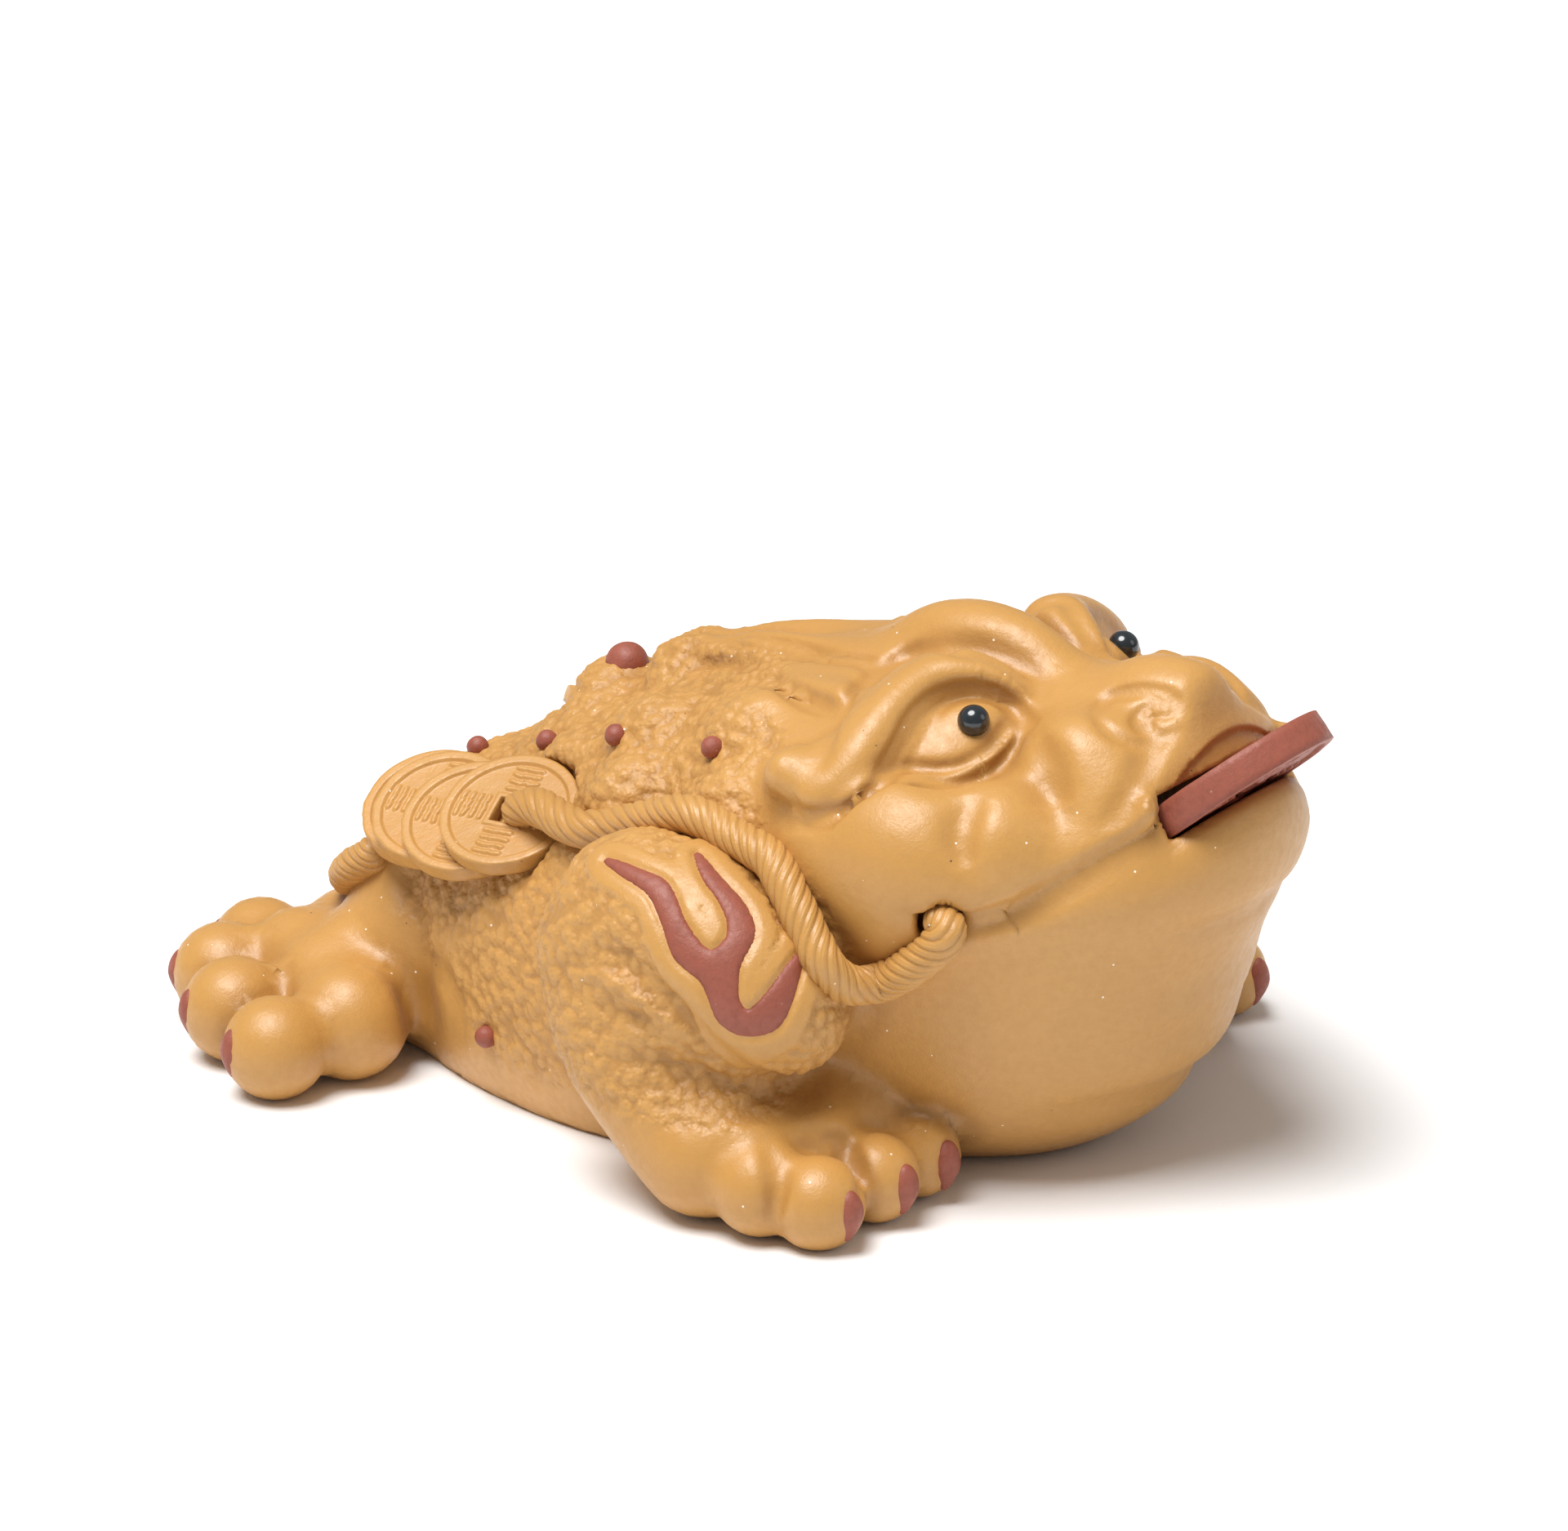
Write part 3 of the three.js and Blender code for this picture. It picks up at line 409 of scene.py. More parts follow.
def back_lines(c):
    # edges of the tuft along the spine and of the one behind the brow
    c.crease(SPINE_TUFT_LINE, 1.3, 1.2)
    c.crease(BROW_TUFT_LINE, 1.2, 1.0)


MOUNDS = (
    (7, 18, 51, 7), (-10, 15, 46.5, 7), (-29, 7, 39, 7), (-14, 0, 50, 7), (10, 27, 44, 7),
    (-8, 23.5, 41.5, 7), (-27, 0, 45, 7), (-40, 4, 32, 7), (-22, 15, 40, 5.5),
)
MOUND_HEIGHT = 5.5


def back(c):
    # tufts sweeping back from the brow
    c.limb([(24, 5, 57.2, 5), (10, 4, 56.9, 4.3), (-4, 3.5, 56.2, 3.2), (-14, 2, 54.5, 1.6)], 1.2)
    c.limb([(27, 19, 58, 4.5), (15, 15.5, 57, 3.2), (5, 13, 56, 1.5)], 1.2)
    # warty mounds
    for f, x, z, r in MOUNDS:
        c.lobe((f, x, z), (r, r, MOUND_HEIGHT), 2.5)


def arm(c):
    c.lobe((14, 40, 31), (21, 13, 13), 3, turn=(0, -22, 0))
    c.limb([(1, 44, 30, 8), (6, 45.5, 21, 9), (14, 47, 12, 8), (19, 48, 8, 7.4)], 4)
    c.lobe((20, 42, 9), (10, 11, 8.5), 4)
    c.lobe((23, 34, 9), (11, 9, 8), 4)
    c.lobe((12, 37, 13), (12, 6, 13), 3)


FRONT_TOES = (
    ((28.6, 48.6, 6.4, 6.2), (36.0, 46.9, 5.4, 5.9)),
    ((29.6, 38.4, 8, 5.9), (37.4, 36.5, 5.5, 5.6)),
    ((30.2, 29.4, 8.8, 5.7), (37.7, 27.5, 5.6, 5.4)),
)


def front_toes(c):
    for knuckle, tip in FRONT_TOES:
        c.ball(knuckle, 2)
        c.ball(tip, 1.5)


HIND_TOES = (
    ((-44.9, -36.7, 7.4, 7.7), (-48.6, -47.4, 6.4, 6.8)),
    ((-53.2, -30.5, 8.5, 7.4), (-60.6, -40.6, 6.8, 7)),
    ((-62.0, -25.3, 8.5, 7), (-69.8, -31.5, 6.8, 6.9)),
    ((-61, -15.5, 8.5, 7), (-71.8, -21.3, 6.8, 6.7)),
)


def hind_leg(c):
    c.limb([(-41, -11, 21, 15), (-46, -18, 13, 12), (-51, -22, 9, 9)], 6, mirrored=False)
    for knuckle, tip in HIND_TOES:
        c.ball(knuckle, 4, False)
        c.ball(tip, 2, False)
    c.crease([(-42.8, -26.5, 24.5), (-39.9, -29.9, 17.8), (-38.1, -31.2, 9.5)], 2.5, 2.0, WHOLE, False)


def throat(c):
    c.crease([(65.8, 14.9, 37.2), (69.6, 0, 36.5)], 2.2, 1.2, FADED_IN)
    c.crease([(64.1, 14.6, 26.8), (67.1, 0, 26.4)], 2.2, 1.2, FADED_IN)
    c.crease([(59.3, 19.2, 20), (66.3, 0, 19.7)], 2.2, 1.2, FADED_IN)
    c.crease([(50, 22, 10), (57.5, 10, 10.5), (59.5, 0, 10.5)], 2.5, 2.2, FADED_IN)


# A box round all of the clay, and how rounded the edge of the underside is.
ROOM = 200
GROUND_BLEND = 0.7


def ground(c):
    """The flat underside, its edge a little rounded."""
    c.join([-ROOM] * 3, [ROOM] * 3, lambda p: p[:, 2], GROUND_BLEND, True, False)


# Where the smaller pieces are, on one side or in the middle.
WARTS = ((4.9, 25.7, 52.2), (-13.3, 21.1, 48.7), (-29.4, 14.4, 42.8), (-44.1, 9.6, 37.3))
GREAT_WART = (-26.8, 0, 49.5)
FLANK_WART = (-23.4, 35.5, 9.9)
SIDES = (("right", -1), ("left", 1))

SIDE_ROPE = (
    (46.2, 34.2, 39.2), (41.4, 34.9, 33.8), (37, 34.7, 30.8), (34.5, 38.1, 31.1), (32.8, 40.9, 34.3),
    (30, 40.4, 37.8), (26, 39.1, 41.9), (21.8, 37.4, 44.7), (15.9, 36, 45.7), (8.6, 34.5, 45.7),
    (1.6, 33.5, 43.8), (-5.8, 32, 41.2), (-11, 31, 39.6),
)
RUMP_ROPE = (
    (-48, -25, 27), (-55, -23, 22), (-59.5, -16, 17.5), (-58, -3, 17), (-55, 11, 20), (-48, 23, 27),
)
CHEEK_HOLE_DEPTH = 4
CHEEK_HOLE_MARGIN = 0.3
ROPE_END_MARGIN = 1.2

FRONT_CLAW_WAY = (0.99, 0.1, -0.07)
HIND_CLAW_WAYS = ((-0.54, -0.84, 0), (-0.66, -0.75, 0), (-0.82, -0.57, 0), (-0.95, -0.3, 0))

MOUTH_COIN_CENTRE = (65.6, 0, 52.4)
COIN_CENTRES = ((-25.8, 26.8, 36.9), (-32.1, 26.7, 34.7), (-38.9, 24.1, 33.9), (-42.3, 21.8, 32.7))
COIN_OUT = (0.07, 0.5, 0.865)

FLAME_CENTRE = (20.6, 47.4, 36.9)
FLAME_OUT = (0.36, 0.7, 0.62)
FLAME = (
    (-14.6, 10.5), (-9.1, 8.1), (-6, 6.2), (-3.1, 0.8), (0, -2.2), (2.2, 0.1), (1.2, 3.8), (-1.7, 7.7),
    (-3.2, 11.5), (0.2, 7.8), (3.7, 4), (5, 0.4), (3.6, -3.9), (3.8, -7.8), (5.3, -8.8), (7.8, -6.1),
    (10.8, -0.9), (10.2, -6.3), (8.5, -10), (5, -11.1), (1.7, -10), (-0.6, -5.8), (-4.1, -2.9), (-6.1, 1.5),
    (-8.2, 5.2), (-12.1, 8.1),
)

# The skin's grid: the size of a cell, cells to a block, and how near, in blocks, the skin is worked out.
CELL = 1.9
BLOCK = 4
BLOCK_MARGIN = 1.3

clay = Clay()
for model in (torso, head, back, back_lines, face, face_lines, fine_brow, fine_muzzle, fine_tufts, fine_face,
              throat, arm, front_toes, hind_leg, fine_limbs):
    model(clay)


def seat(rough, rise=0.0):
    """The skin point under a rough place and the way out of the clay there, in metres."""
    point = clay.settle(np.array([rough[:3]], float))
    way = world_way(clay.slope(point)[0])
    return Vector(world(point)[0]) + way * rise * METRES, way


def standing(centre, out, upward=Vector((0, 0, 1))):
    """The place of a piece made along Z: its Z along `out`, its X as near `upward` as can be."""
    across = out.cross(upward).normalized()
    rise = across.cross(out)
    rows = [(rise[i], across[i], out[i], centre[i]) for i in range(3)]
    return Matrix(rows + [(0, 0, 0, 1)])


def plane_axes(side):
    """The flame's plane: its centre, its forward and up directions and its normal, in layout units."""
    out = np.array(flip(FLAME_OUT, side), float)
    out /= np.linalg.norm(out)
    # level direction on the plane, then the steepest one
    forward = np.cross(out, (0, 0, 1)) * side
    forward /= np.linalg.norm(forward)
    upward = np.cross(forward, out) * side
    return np.array(flip(FLAME_CENTRE, side), float), forward, upward, out


def outline_gap(points, outline):
    """Signed distance from flat points to a closed outline, negative inside."""
    best = np.full(len(points), NONE_NEAR)
    inside = np.zeros(len(points), bool)
    for a, b in zip(outline, np.roll(outline, -1, axis=0)):
        best = np.minimum(best, to_segment(points, a, b)[1])
        crosses = (a[1] > points[:, 1]) != (b[1] > points[:, 1])
        rise = b[1] - a[1] if b[1] != a[1] else 1.0
        inside ^= crosses & (points[:, 0] < a[0] + (points[:, 1] - a[1]) * (b[0] - a[0]) / rise)
    return np.where(inside, -best, best)


def closed_curve(points, steps):
    """A smooth closed curve through flat points."""
    p = np.array(points, float)
    out = []
    for i in range(len(p)):
        out += between(*(p[(i + k) % len(p)] for k in (-1, 0, 1, 2)), steps)
    return np.array(out)


def flame_outline(steps):
    """The flame's smooth outline, swelled evenly all round, in layout units."""
    curve = closed_curve(FLAME, steps)
    along = unit(np.roll(curve, -1, axis=0) - np.roll(curve, 1, axis=0))
    outward = np.stack([-along[:, 1], along[:, 0]], 1)
    return curve + outward * FLAME_SWELL / UNIT


flame_curve = flame_outline(6)


# What turns a place into three numbers, a pebble's stray and radius in its cell, and three slow waves.
MIX = np.array([[127.1, 311.7, 74.7], [269.5, 183.3, 246.1], [113.5, 271.9, 124.6]])
MIX_SIZE = 43758.5453
PEBBLE_STRAY = 0.75
PEBBLE_RADIUS = 0.66
WAVES = ((1.0, 0.7, 1.3), (1.9, 1.6, 0.8), (3.1, 2.3, 2.7))
WAVE_SHIFTS = (1.7, 2.1)
WAVE_FADE = 0.6


def shares(corner):
    """Three numbers from 0 to 1 that look random but always come out the same for the same corner."""
    value = np.sin(corner @ MIX) * MIX_SIZE
    return value - np.floor(value)


def pebbles(points, size):
    """Close-packed round lumps: 1 on top of a lump, 0 between lumps."""
    p = points / size
    cell = np.floor(p)
    near = np.full(len(p), NONE_NEAR)
    for offset in itertools.product((-1, 0, 1), repeat=3):
        corner = cell + offset
        spot = corner + 0.5 + PEBBLE_STRAY * (shares(corner) - 0.5)
        near = np.minimum(near, length(p - spot))
    return 1 - np.minimum(near / PEBBLE_RADIUS, 1) ** 2


def ramble(points, size):
    """Slow, smooth unevenness between -1 and 1."""
    p = points / size
    total = np.zeros(len(p))
    for k, (a, b, c) in enumerate(WAVES):
        first, second = (shift * k for shift in WAVE_SHIFTS)
        wave = np.sin(a * p[:, 0] + first + np.sin(b * p[:, 1] + k)) * np.sin(c * p[:, 2] + second)
        total += wave * WAVE_FADE**k
    return total / 2


# Where the clay is pebbled, and smooth places within that: centre and radii of each patch. The soft borders
# wander.
PEBBLED = (
    ((-14, 0, 46), (38, 34, 19)),
    ((-6, 31, 32), (20, 12, 10)),
    ((-14, 33, 20), (18, 10, 15)),
    ((14, 46, 30), (24, 18, 19)),
    ((4, 28, 48), (17, 12, 12)),
    ((-3, 41, 20), (11, 10, 12)),
    ((-36, 20, 24), (9, 14, 12)),
)
SMOOTH = (
    ((38, 0, 56), (16.5, 60, 16)),
    ((20, 30.5, 52.5), (5.5, 6, 6)),
    ((15, 14, 61), (13, 7, 3.5)),
)
PATCH_BORDER = 1.5
WANDER = 0.8
WANDER_SIZE = 4.0

# The tuft along the spine is smooth too: its tip, how it widens forward of that, and its soft border.
TUFT_TIP = (-13, 2.6, 54)
TUFT_WIDENS = 0.26
TUFT_BORDER = (-0.6, 0.8)

# Room round a flame's plane, in layout units: off the plane, along it, and out from the figure's middle.
FLAME_DEPTH = 9
FLAME_REACH = 18
FLAME_SIDE = 20


def ellipsoid_gap(p, centre, radii):
    q = (p - centre) / radii
    k = length(q)
    return (k - 1) * min(radii)


def pebbled_share(points):
    """How pebbled the clay is at each point, from 0 to 1."""
    p = points.copy()
    p[:, 1] = np.abs(p[:, 1])
    p = p + ramble(points, WANDER_SIZE)[:, None] * WANDER
    share = np.zeros(len(p))
    for centre, radii in PEBBLED:
        share = np.maximum(share, smooth_step(PATCH_BORDER, -PATCH_BORDER, ellipsoid_gap(p, centre, radii)))
    for centre, radii in SMOOTH:
        share = np.minimum(share, smooth_step(-PATCH_BORDER, PATCH_BORDER, ellipsoid_gap(p, centre, radii)))
    beside = p[:, 1] - TUFT_TIP[1] - TUFT_WIDENS * (p[:, 0] - TUFT_TIP[0])
    beside = np.maximum(beside, np.maximum(TUFT_TIP[0] - p[:, 0], TUFT_TIP[2] - p[:, 2]))
    return np.minimum(share, smooth_step(*TUFT_BORDER, beside))


def flame_gap(points):
    """How far outside a flame's outline points near its plane are; NONE_NEAR elsewhere."""
    gap = np.full(len(points), NONE_NEAR)
    for _, side in SIDES:
        centre, forward, upward, out = plane_axes(side)
        q = points - centre
        flat = np.stack([q @ forward, q @ upward], 1)
        near = (np.abs(q @ out) < FLAME_DEPTH) & (np.abs(flat) < FLAME_REACH).all(1)
        near &= points[:, 1] * side > FLAME_SIDE
        gap[near] = outline_gap(flat[near], flame_curve)
    return gap


# The skin as a mesh: one vertex in each grid cell that it crosses, one quad for each crossed edge.
CORNERS = list(itertools.product((0, 1), repeat=3))


def grid(axes):
    """Every combination of the values on the axes, one to a row."""
    return np.stack(np.meshgrid(*axes, indexing="ij"), -1).reshape(-1, len(axes))


def on_axes(axes, where):
    """The places of the grid points whose numbers are given."""
    return np.stack([axis[column] for axis, column in zip(axes, where.T)], 1)


def crossed(d, axes):
    """The skin's points and quads, from the field on a grid."""
    solid = d < 0
    shape = np.array(d.shape) - 1
    count = np.zeros(shape, np.int8)
    for i, j, k in CORNERS:
        count += solid[i : i + shape[0], j : j + shape[1], k : k + shape[2]]
    active = (count > 0) & (count < 8)
    ids = np.full(shape, -1, np.int64)
    where = np.argwhere(active)
    ids[active] = np.arange(len(where))
    total, hits = np.zeros((len(where), 3)), np.zeros(len(where))
    for axis in range(3):
        for corner in CORNERS:
            if corner[axis]:
                continue
            other = list(corner)
            other[axis] = 1
            a = d[tuple((where + corner).T)]
            b = d[tuple((where + other).T)]
            cross = (a < 0) != (b < 0)
            at = np.tile(np.array(corner, float), (len(where), 1))
            at[:, axis] = np.where(cross, a / np.where(cross, a - b, 1), 0)
            total += at * cross[:, None]
            hits += cross
    low = on_axes(axes, where)
    points = low + (on_axes(axes, where + 1) - low) * total / hits[:, None]
    quads = []
    for axis in range(3):
        u, v = np.eye(3, dtype=int)[(axis + 1) % 3], np.eye(3, dtype=int)[(axis + 2) % 3]
        first, second = [slice(1, -1)] * 3, [slice(1, -1)] * 3
        first[axis], second[axis] = slice(0, -1), slice(1, None)
        a, b = solid[tuple(first)], solid[tuple(second)]
        for leaving, order in ((a & ~b, 1), (~a & b, -1)):
            cut = np.argwhere(leaving)
            cut[:, [i for i in range(3) if i != axis]] += 1
            ring = [cut - u - v, cut - v, cut, cut - u][::order]
            quads.append(np.stack([ids[tuple(r.T)] for r in ring], 1))
    return points, np.vstack(quads)


def skin(c, low, high, cell):
    """Triangles on the clay's skin inside a box."""
    axes = []
    for a, b in zip(low, high):
        blocks = int(np.ceil((b - a) / cell / BLOCK))
        axes.append(a + cell * np.arange(blocks * BLOCK + 1))
    rough = c.field(grid([axis[::BLOCK] for axis in axes])).reshape([len(a[::BLOCK]) for a in axes])
    n = np.array(rough.shape) - 1
    around = [rough[i : i + n[0], j : j + n[1], k : k + n[2]] for i, j, k in CORNERS]
    near = np.min(np.abs(around), 0) < BLOCK * cell * BLOCK_MARGIN
    near |= np.min(around, 0) * np.max(around, 0) < 0
    values = rough
    for axis in range(3):
        values = np.repeat(values, BLOCK, axis)
    values = values[tuple(slice(0, len(axis)) for axis in axes)].copy()
    wanted = np.zeros(values.shape, bool)
    start = np.argwhere(near) * BLOCK
    for offset in itertools.product(range(BLOCK + 1), repeat=3):
        wanted[tuple((start + offset).T)] = True
    values[wanted] = c.field(on_axes(axes, np.argwhere(wanted)))
    points, quads = crossed(values, axes)
    return points, np.vstack([quads[:, [0, 1, 2]], quads[:, [0, 2, 3]]])


def sides_of(triangles):
    """The two ends of every triangle's three sides, the lower one first."""
    return np.sort(np.concatenate([triangles[:, pair] for pair in ([0, 1], [1, 2], [2, 0])]), axis=1)


def refine(points, triangles, wanted):
    """Halves every edge whose two ends are wanted, and cuts the triangles to match."""
    edges, which = np.unique(sides_of(triangles), axis=0, return_inverse=True)
    split = wanted[edges].all(1)
    middle = np.full(len(edges), -1)
    middle[split] = len(points) + np.arange(split.sum())
    points = np.vstack([points, points[edges[split]].mean(1)])
    halves = middle[which.reshape(3, -1).T]
    count = (halves >= 0).sum(1)
    out = [triangles[count == 0]]
    one = np.flatnonzero(count == 1)
    turn = np.argmax(halves[one] >= 0, axis=1)
    rows = np.arange(len(one))
    a, b, c = (triangles[one][rows, (turn + k) % 3] for k in range(3))
    m = halves[one][rows, turn]
    out += [np.stack([a, m, c], 1), np.stack([m, b, c], 1)]
    a, b, c = triangles[count == 3].T
    ab, bc, ca = halves[count == 3].T
    out += [np.stack(t, 1) for t in ((a, ab, ca), (b, bc, ab), (c, ca, bc), (ab, bc, ca))]
    return points, np.vstack(out)


def shown(name, data):
    """A new object in the scene."""
    made = bpy.data.objects.new(name, data)
    bpy.context.scene.collection.objects.link(made)
    return made


def piece(name, points, triangles, finish, node, values=None):
    """A finished surface that stands for one CAD node and stays with it; points in metres."""
    mesh = bpy.data.meshes.new(name)
    mesh.vertices.add(len(points))
    mesh.vertices.foreach_set("co", np.asarray(points, np.float32).ravel())
    mesh.loops.add(3 * len(triangles))
    mesh.loops.foreach_set("vertex_index", np.asarray(triangles, np.int32).ravel())
    mesh.polygons.add(len(triangles))
    mesh.polygons.foreach_set("loop_start", np.arange(0, 3 * len(triangles), 3, dtype=np.int32))
    mesh.polygons.foreach_set("use_smooth", np.ones(len(triangles), bool))
    mesh.update(calc_edges=True)
    for key, value in (values or {}).items():
        mesh.attributes.new(key, "FLOAT", "POINT").data.foreach_set("value", value.astype(np.float32))
    mesh.materials.append(materials[finish])
    made = shown(name, mesh)
    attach(made, "root")
    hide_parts(node)


def placed(points, matrix):
    """Points in millimetres about a piece's own centre, moved to its place in metres."""
    m = np.array(matrix)
    return (points * METRES) @ m[:3, :3].T + m[:3, 3]


def wrapped(rows, columns, closed_rows=False):
    """Triangles over a grid of points whose columns join up, and whose rows may."""
    j = np.arange(columns)
    out = []
    for i in range(rows if closed_rows else rows - 1):
        a, b = i * columns + j, i * columns + (j + 1) % columns
        c, d = (a + columns) % (rows * columns), (b + columns) % (rows * columns)
        out += [np.stack([a, b, d], 1), np.stack([a, d, c], 1)]
    return np.vstack(out)


def capped(rows, columns):
    """The same with both ends closed on two points added after the grid."""
    j = np.arange(columns)
    last = (rows - 1) * columns
    first_cap = np.stack([np.full(columns, rows * columns), (j + 1) % columns, j], 1)
    last_cap = np.stack([np.full(columns, rows * columns + 1), last + j, last + (j + 1) % columns], 1)
    return np.vstack([wrapped(rows, columns), first_cap, last_cap])


def circle(columns):
    """Even turns round a circle, and the flat points there."""
    turn = 2 * np.pi * np.arange(columns) / columns
    return turn, np.stack([np.cos(turn), np.sin(turn)], 1)


def lump(radii, shape, rows=20, columns=32):
    """A closed round form: `shape` takes points on the unit ball and gives the changed ones."""
    tilt = np.linspace(0, np.pi, rows + 2)[1:-1]
    _, ring = circle(columns)
    body = [np.column_stack([ring * np.sin(t), np.full(columns, -np.cos(t))]) for t in tilt]
    points = np.vstack(body + [[[0, 0, -1]], [[0, 0, 1]]])
    return shape(points) * radii, capped(rows, columns)


# The body: the skin, halved where it is busy, pebbled, and flat under the feet.
BODY_BOX = ((-88, -64, -3), (84, 64, 74))
# Two points bend apart where their ways out have a smaller product than this.
BEND = 0.975
# Busy boxes, each from its lowest to its highest forward, side and up: face, tufts, front toes, and nose.
BUSY = (
    ((24, 3, 33), (ROOM, 36, ROOM)),
    ((-18, -1, 52), (25, 22, ROOM)),
    ((22, 32, -ROOM), (ROOM, ROOM, 17)),
    ((56, -1, 42), (ROOM, ROOM, 66)),
)


def busy(points):
    p = np.column_stack([points[:, 0], np.abs(points[:, 1]), points[:, 2]])
    return np.any([((p > low) & (p < high)).all(1) for low, high in BUSY], axis=0)


def bends(c, points, triangles):
    """Where the skin turns sharply from one point to the next."""
    out = c.slope(points)
    sharp = np.zeros(len(points), bool)
    for k in range(3):
        a, b = triangles[:, k], triangles[:, (k + 1) % 3]
        turned = (out[a] * out[b]).sum(1) < BEND
        sharp[a[turned]] = True
        sharp[b[turned]] = True
    return sharp


# The mouth, in layout units in its coin's frame: high above the middle, far ahead of it, and to a side.
# The slot over the coin opens toward its back corners.
SLOT_GAP = 0.12
SLOT_FLARE = 0.2
SLOT_GAP_START = 4
LIP_CORNER = 0.2
# The upper lip's rim bows back, falls to both sides and ends before the corners. Under it a wall steps back.
# Above it the lip leans back.
RIM_FAR = 3.6
RIM_BOW = 0.022
RIM_HIGH = 5.6
RIM_FALL = 0.021
RIM_SIDE = 12.5
RIM_CORNER = 0.05
LIP_BLEND = 2.5
WALL_STEP = 0.8
WALL_SLOPE = 0.3
LIP_LEAN = 0.15
LIP_CURVE = 0.03
# The lower lip is rounded off short of the coin's edge.
LOWER_FAR = 4.4
LOWER_BOW = 0.028
LOWER_BLEND = 3.0
# The blend of clean cuts.
CUT_BLEND = 0.4


def mouth_axis():
    """The way that the mouth's coin faces, in layout units."""
    tilt = np.radians(MOUTH_COIN_TILT)
    return np.array([-np.sin(tilt), 0, np.cos(tilt)])


def cut_mouth(c):
    """Both lips stop short of the coin's front; a slot runs back from them, round the coin."""
    centre, axis = np.array(MOUTH_COIN_CENTRE, float), mouth_axis()
    ahead = np.array([axis[2], 0, -axis[0]])
    half = MOUTH_COIN_THICKNESS / 2 / UNIT
    radius = (MOUTH_COIN_DIAMETER / 2 + SLOT_HEADROOM) / UNIT

    def from_coin(p):
        return (p - centre) @ axis, (p - centre) @ ahead, p[:, 1]

    def from_rim(high, side):
        rise = high - RIM_HIGH + RIM_FALL * side**2
        edge = RIM_FAR - RIM_BOW * side**2 + RIM_CORNER * np.maximum(np.abs(side) - RIM_SIDE, 0) ** 3
        return rise, edge, -half - CLEARANCE / UNIT - high

    def lip(p):
        high, far, side = from_coin(p)
        rise, edge, floor = from_rim(high, side)
        return np.maximum(edge + LIP_LEAN * rise + LIP_CURVE * np.maximum(rise, 0) ** 2 - far, floor)

    def lower_lip(p):
        high, far, side = from_coin(p)
        return np.maximum(LOWER_FAR - LOWER_BOW * side**2 - far, high)

    def gap(p):
        high, far, side = from_coin(p)
        rise, edge, floor = from_rim(high, side)
        behind = LIP_CORNER - far
        ceiling = high - half - SLOT_GAP - SLOT_FLARE * (SLOT_GAP_START - far)
        slot = np.maximum(np.minimum(np.hypot(far, side) - radius, behind), ceiling)
        front = np.maximum(np.maximum(behind, high - half - CLEARANCE / UNIT), np.abs(side) - radius)
        wall = np.maximum(rise, edge - WALL_STEP + WALL_SLOPE * rise - far)
        return np.maximum(np.minimum(np.minimum(slot, front), wall), floor)

    for shape, blend in ((lip, LIP_BLEND), (lower_lip, LOWER_BLEND), (gap, CUT_BLEND)):
        c.join(centre - 2 * radius, centre + 2 * radius, shape, blend, True, False)


# Pebbles are coarser on the side that the picture doesn't show, from here across, after a short change.
PLAIN_FROM = 8
PLAIN_BLEND = 3

# Tops of the back's mounds on both sides, raised a little more than in the solid model.
SWELL_WIDTH = 4.0
SWELL_HEIGHT = 1.2
SWELLS = (
    (8.2, 19.9, 56.9), (-10, 17.5, 51.8), (-27.8, 8.2, 45.5), (-18.4, 3, 53.5), (10.3, 29.9, 49.7),
    (-7.1, 25.9, 46.8),
)

# How far above a coin of the back its bed in the clay is open, in layout units.
BED_DEPTH = 7
HOLE_BLEND = 0.8

# Pebbles, in layout units: sizes on both sides, height, how far they are sunk in, and unevenness among them.
PEBBLE_SIZE = 1.6
PLAIN_PEBBLE_SIZE = 2.8
PEBBLE_HEIGHT = 0.48
PEBBLE_SINK = 0.3
UNEVEN = 0.2
UNEVEN_SIZE = 2.2
# The skin is halved where it is this much pebbled.
PEBBLED_ENOUGH = 0.3

# The border round a flame: its height, start and end, where pebbles start, and how near the skin is halved.
BORDER_HEIGHT = 0.42
BORDER_START = (-0.1, 0.6)
BORDER_END = (2.7, 1.9)
BORDER_PEBBLES = (1.9, 2.4)
BORDER_FINE = 3
# Pebbles and borders start this far above the ground.
RELIEF_START = (0.3, 2.5)

# Painted shade, darker where a place is closed in: how open it is this near and this far out, and what
# painted shade the gaps between pebbles add.
OPEN_NEAR = 1.5
OPEN_FAR = 4.5
FAR_WEIGHT = 1.05
PEBBLE_PAINTED_SHADE = 0.3


def cut_coin_bed(c, centre, out):
    """Opens the clay over a coin of the back, a little wider than the coin."""
    radius = (BACK_COIN_DIAMETER / 2 + CLEARANCE) / UNIT
    low = (BACK_COIN_THICKNESS / 2 + CLEARANCE) / UNIT

    def bed(p):
        high = (p - centre) @ out
        beside = length(p - centre - high[:, None] * out) - radius
        return np.maximum(np.maximum(beside, -low - high), high - BED_DEPTH)

    c.join(centre - 3 * radius, centre + 3 * radius, bed, CUT_BLEND, True, False)


def cut_cheek_hole(c):
    corner = c.settle(np.array([SIDE_ROPE[0]], float))
    out = c.slope(corner)[0] * CHEEK_HOLE_DEPTH / UNIT
    radius = (ROPE_DIAMETER / 2 + CHEEK_HOLE_MARGIN) / UNIT
    c.limb([(*(corner[0] - out), radius), (*(corner[0] + out), radius)], HOLE_BLEND, cut=True)


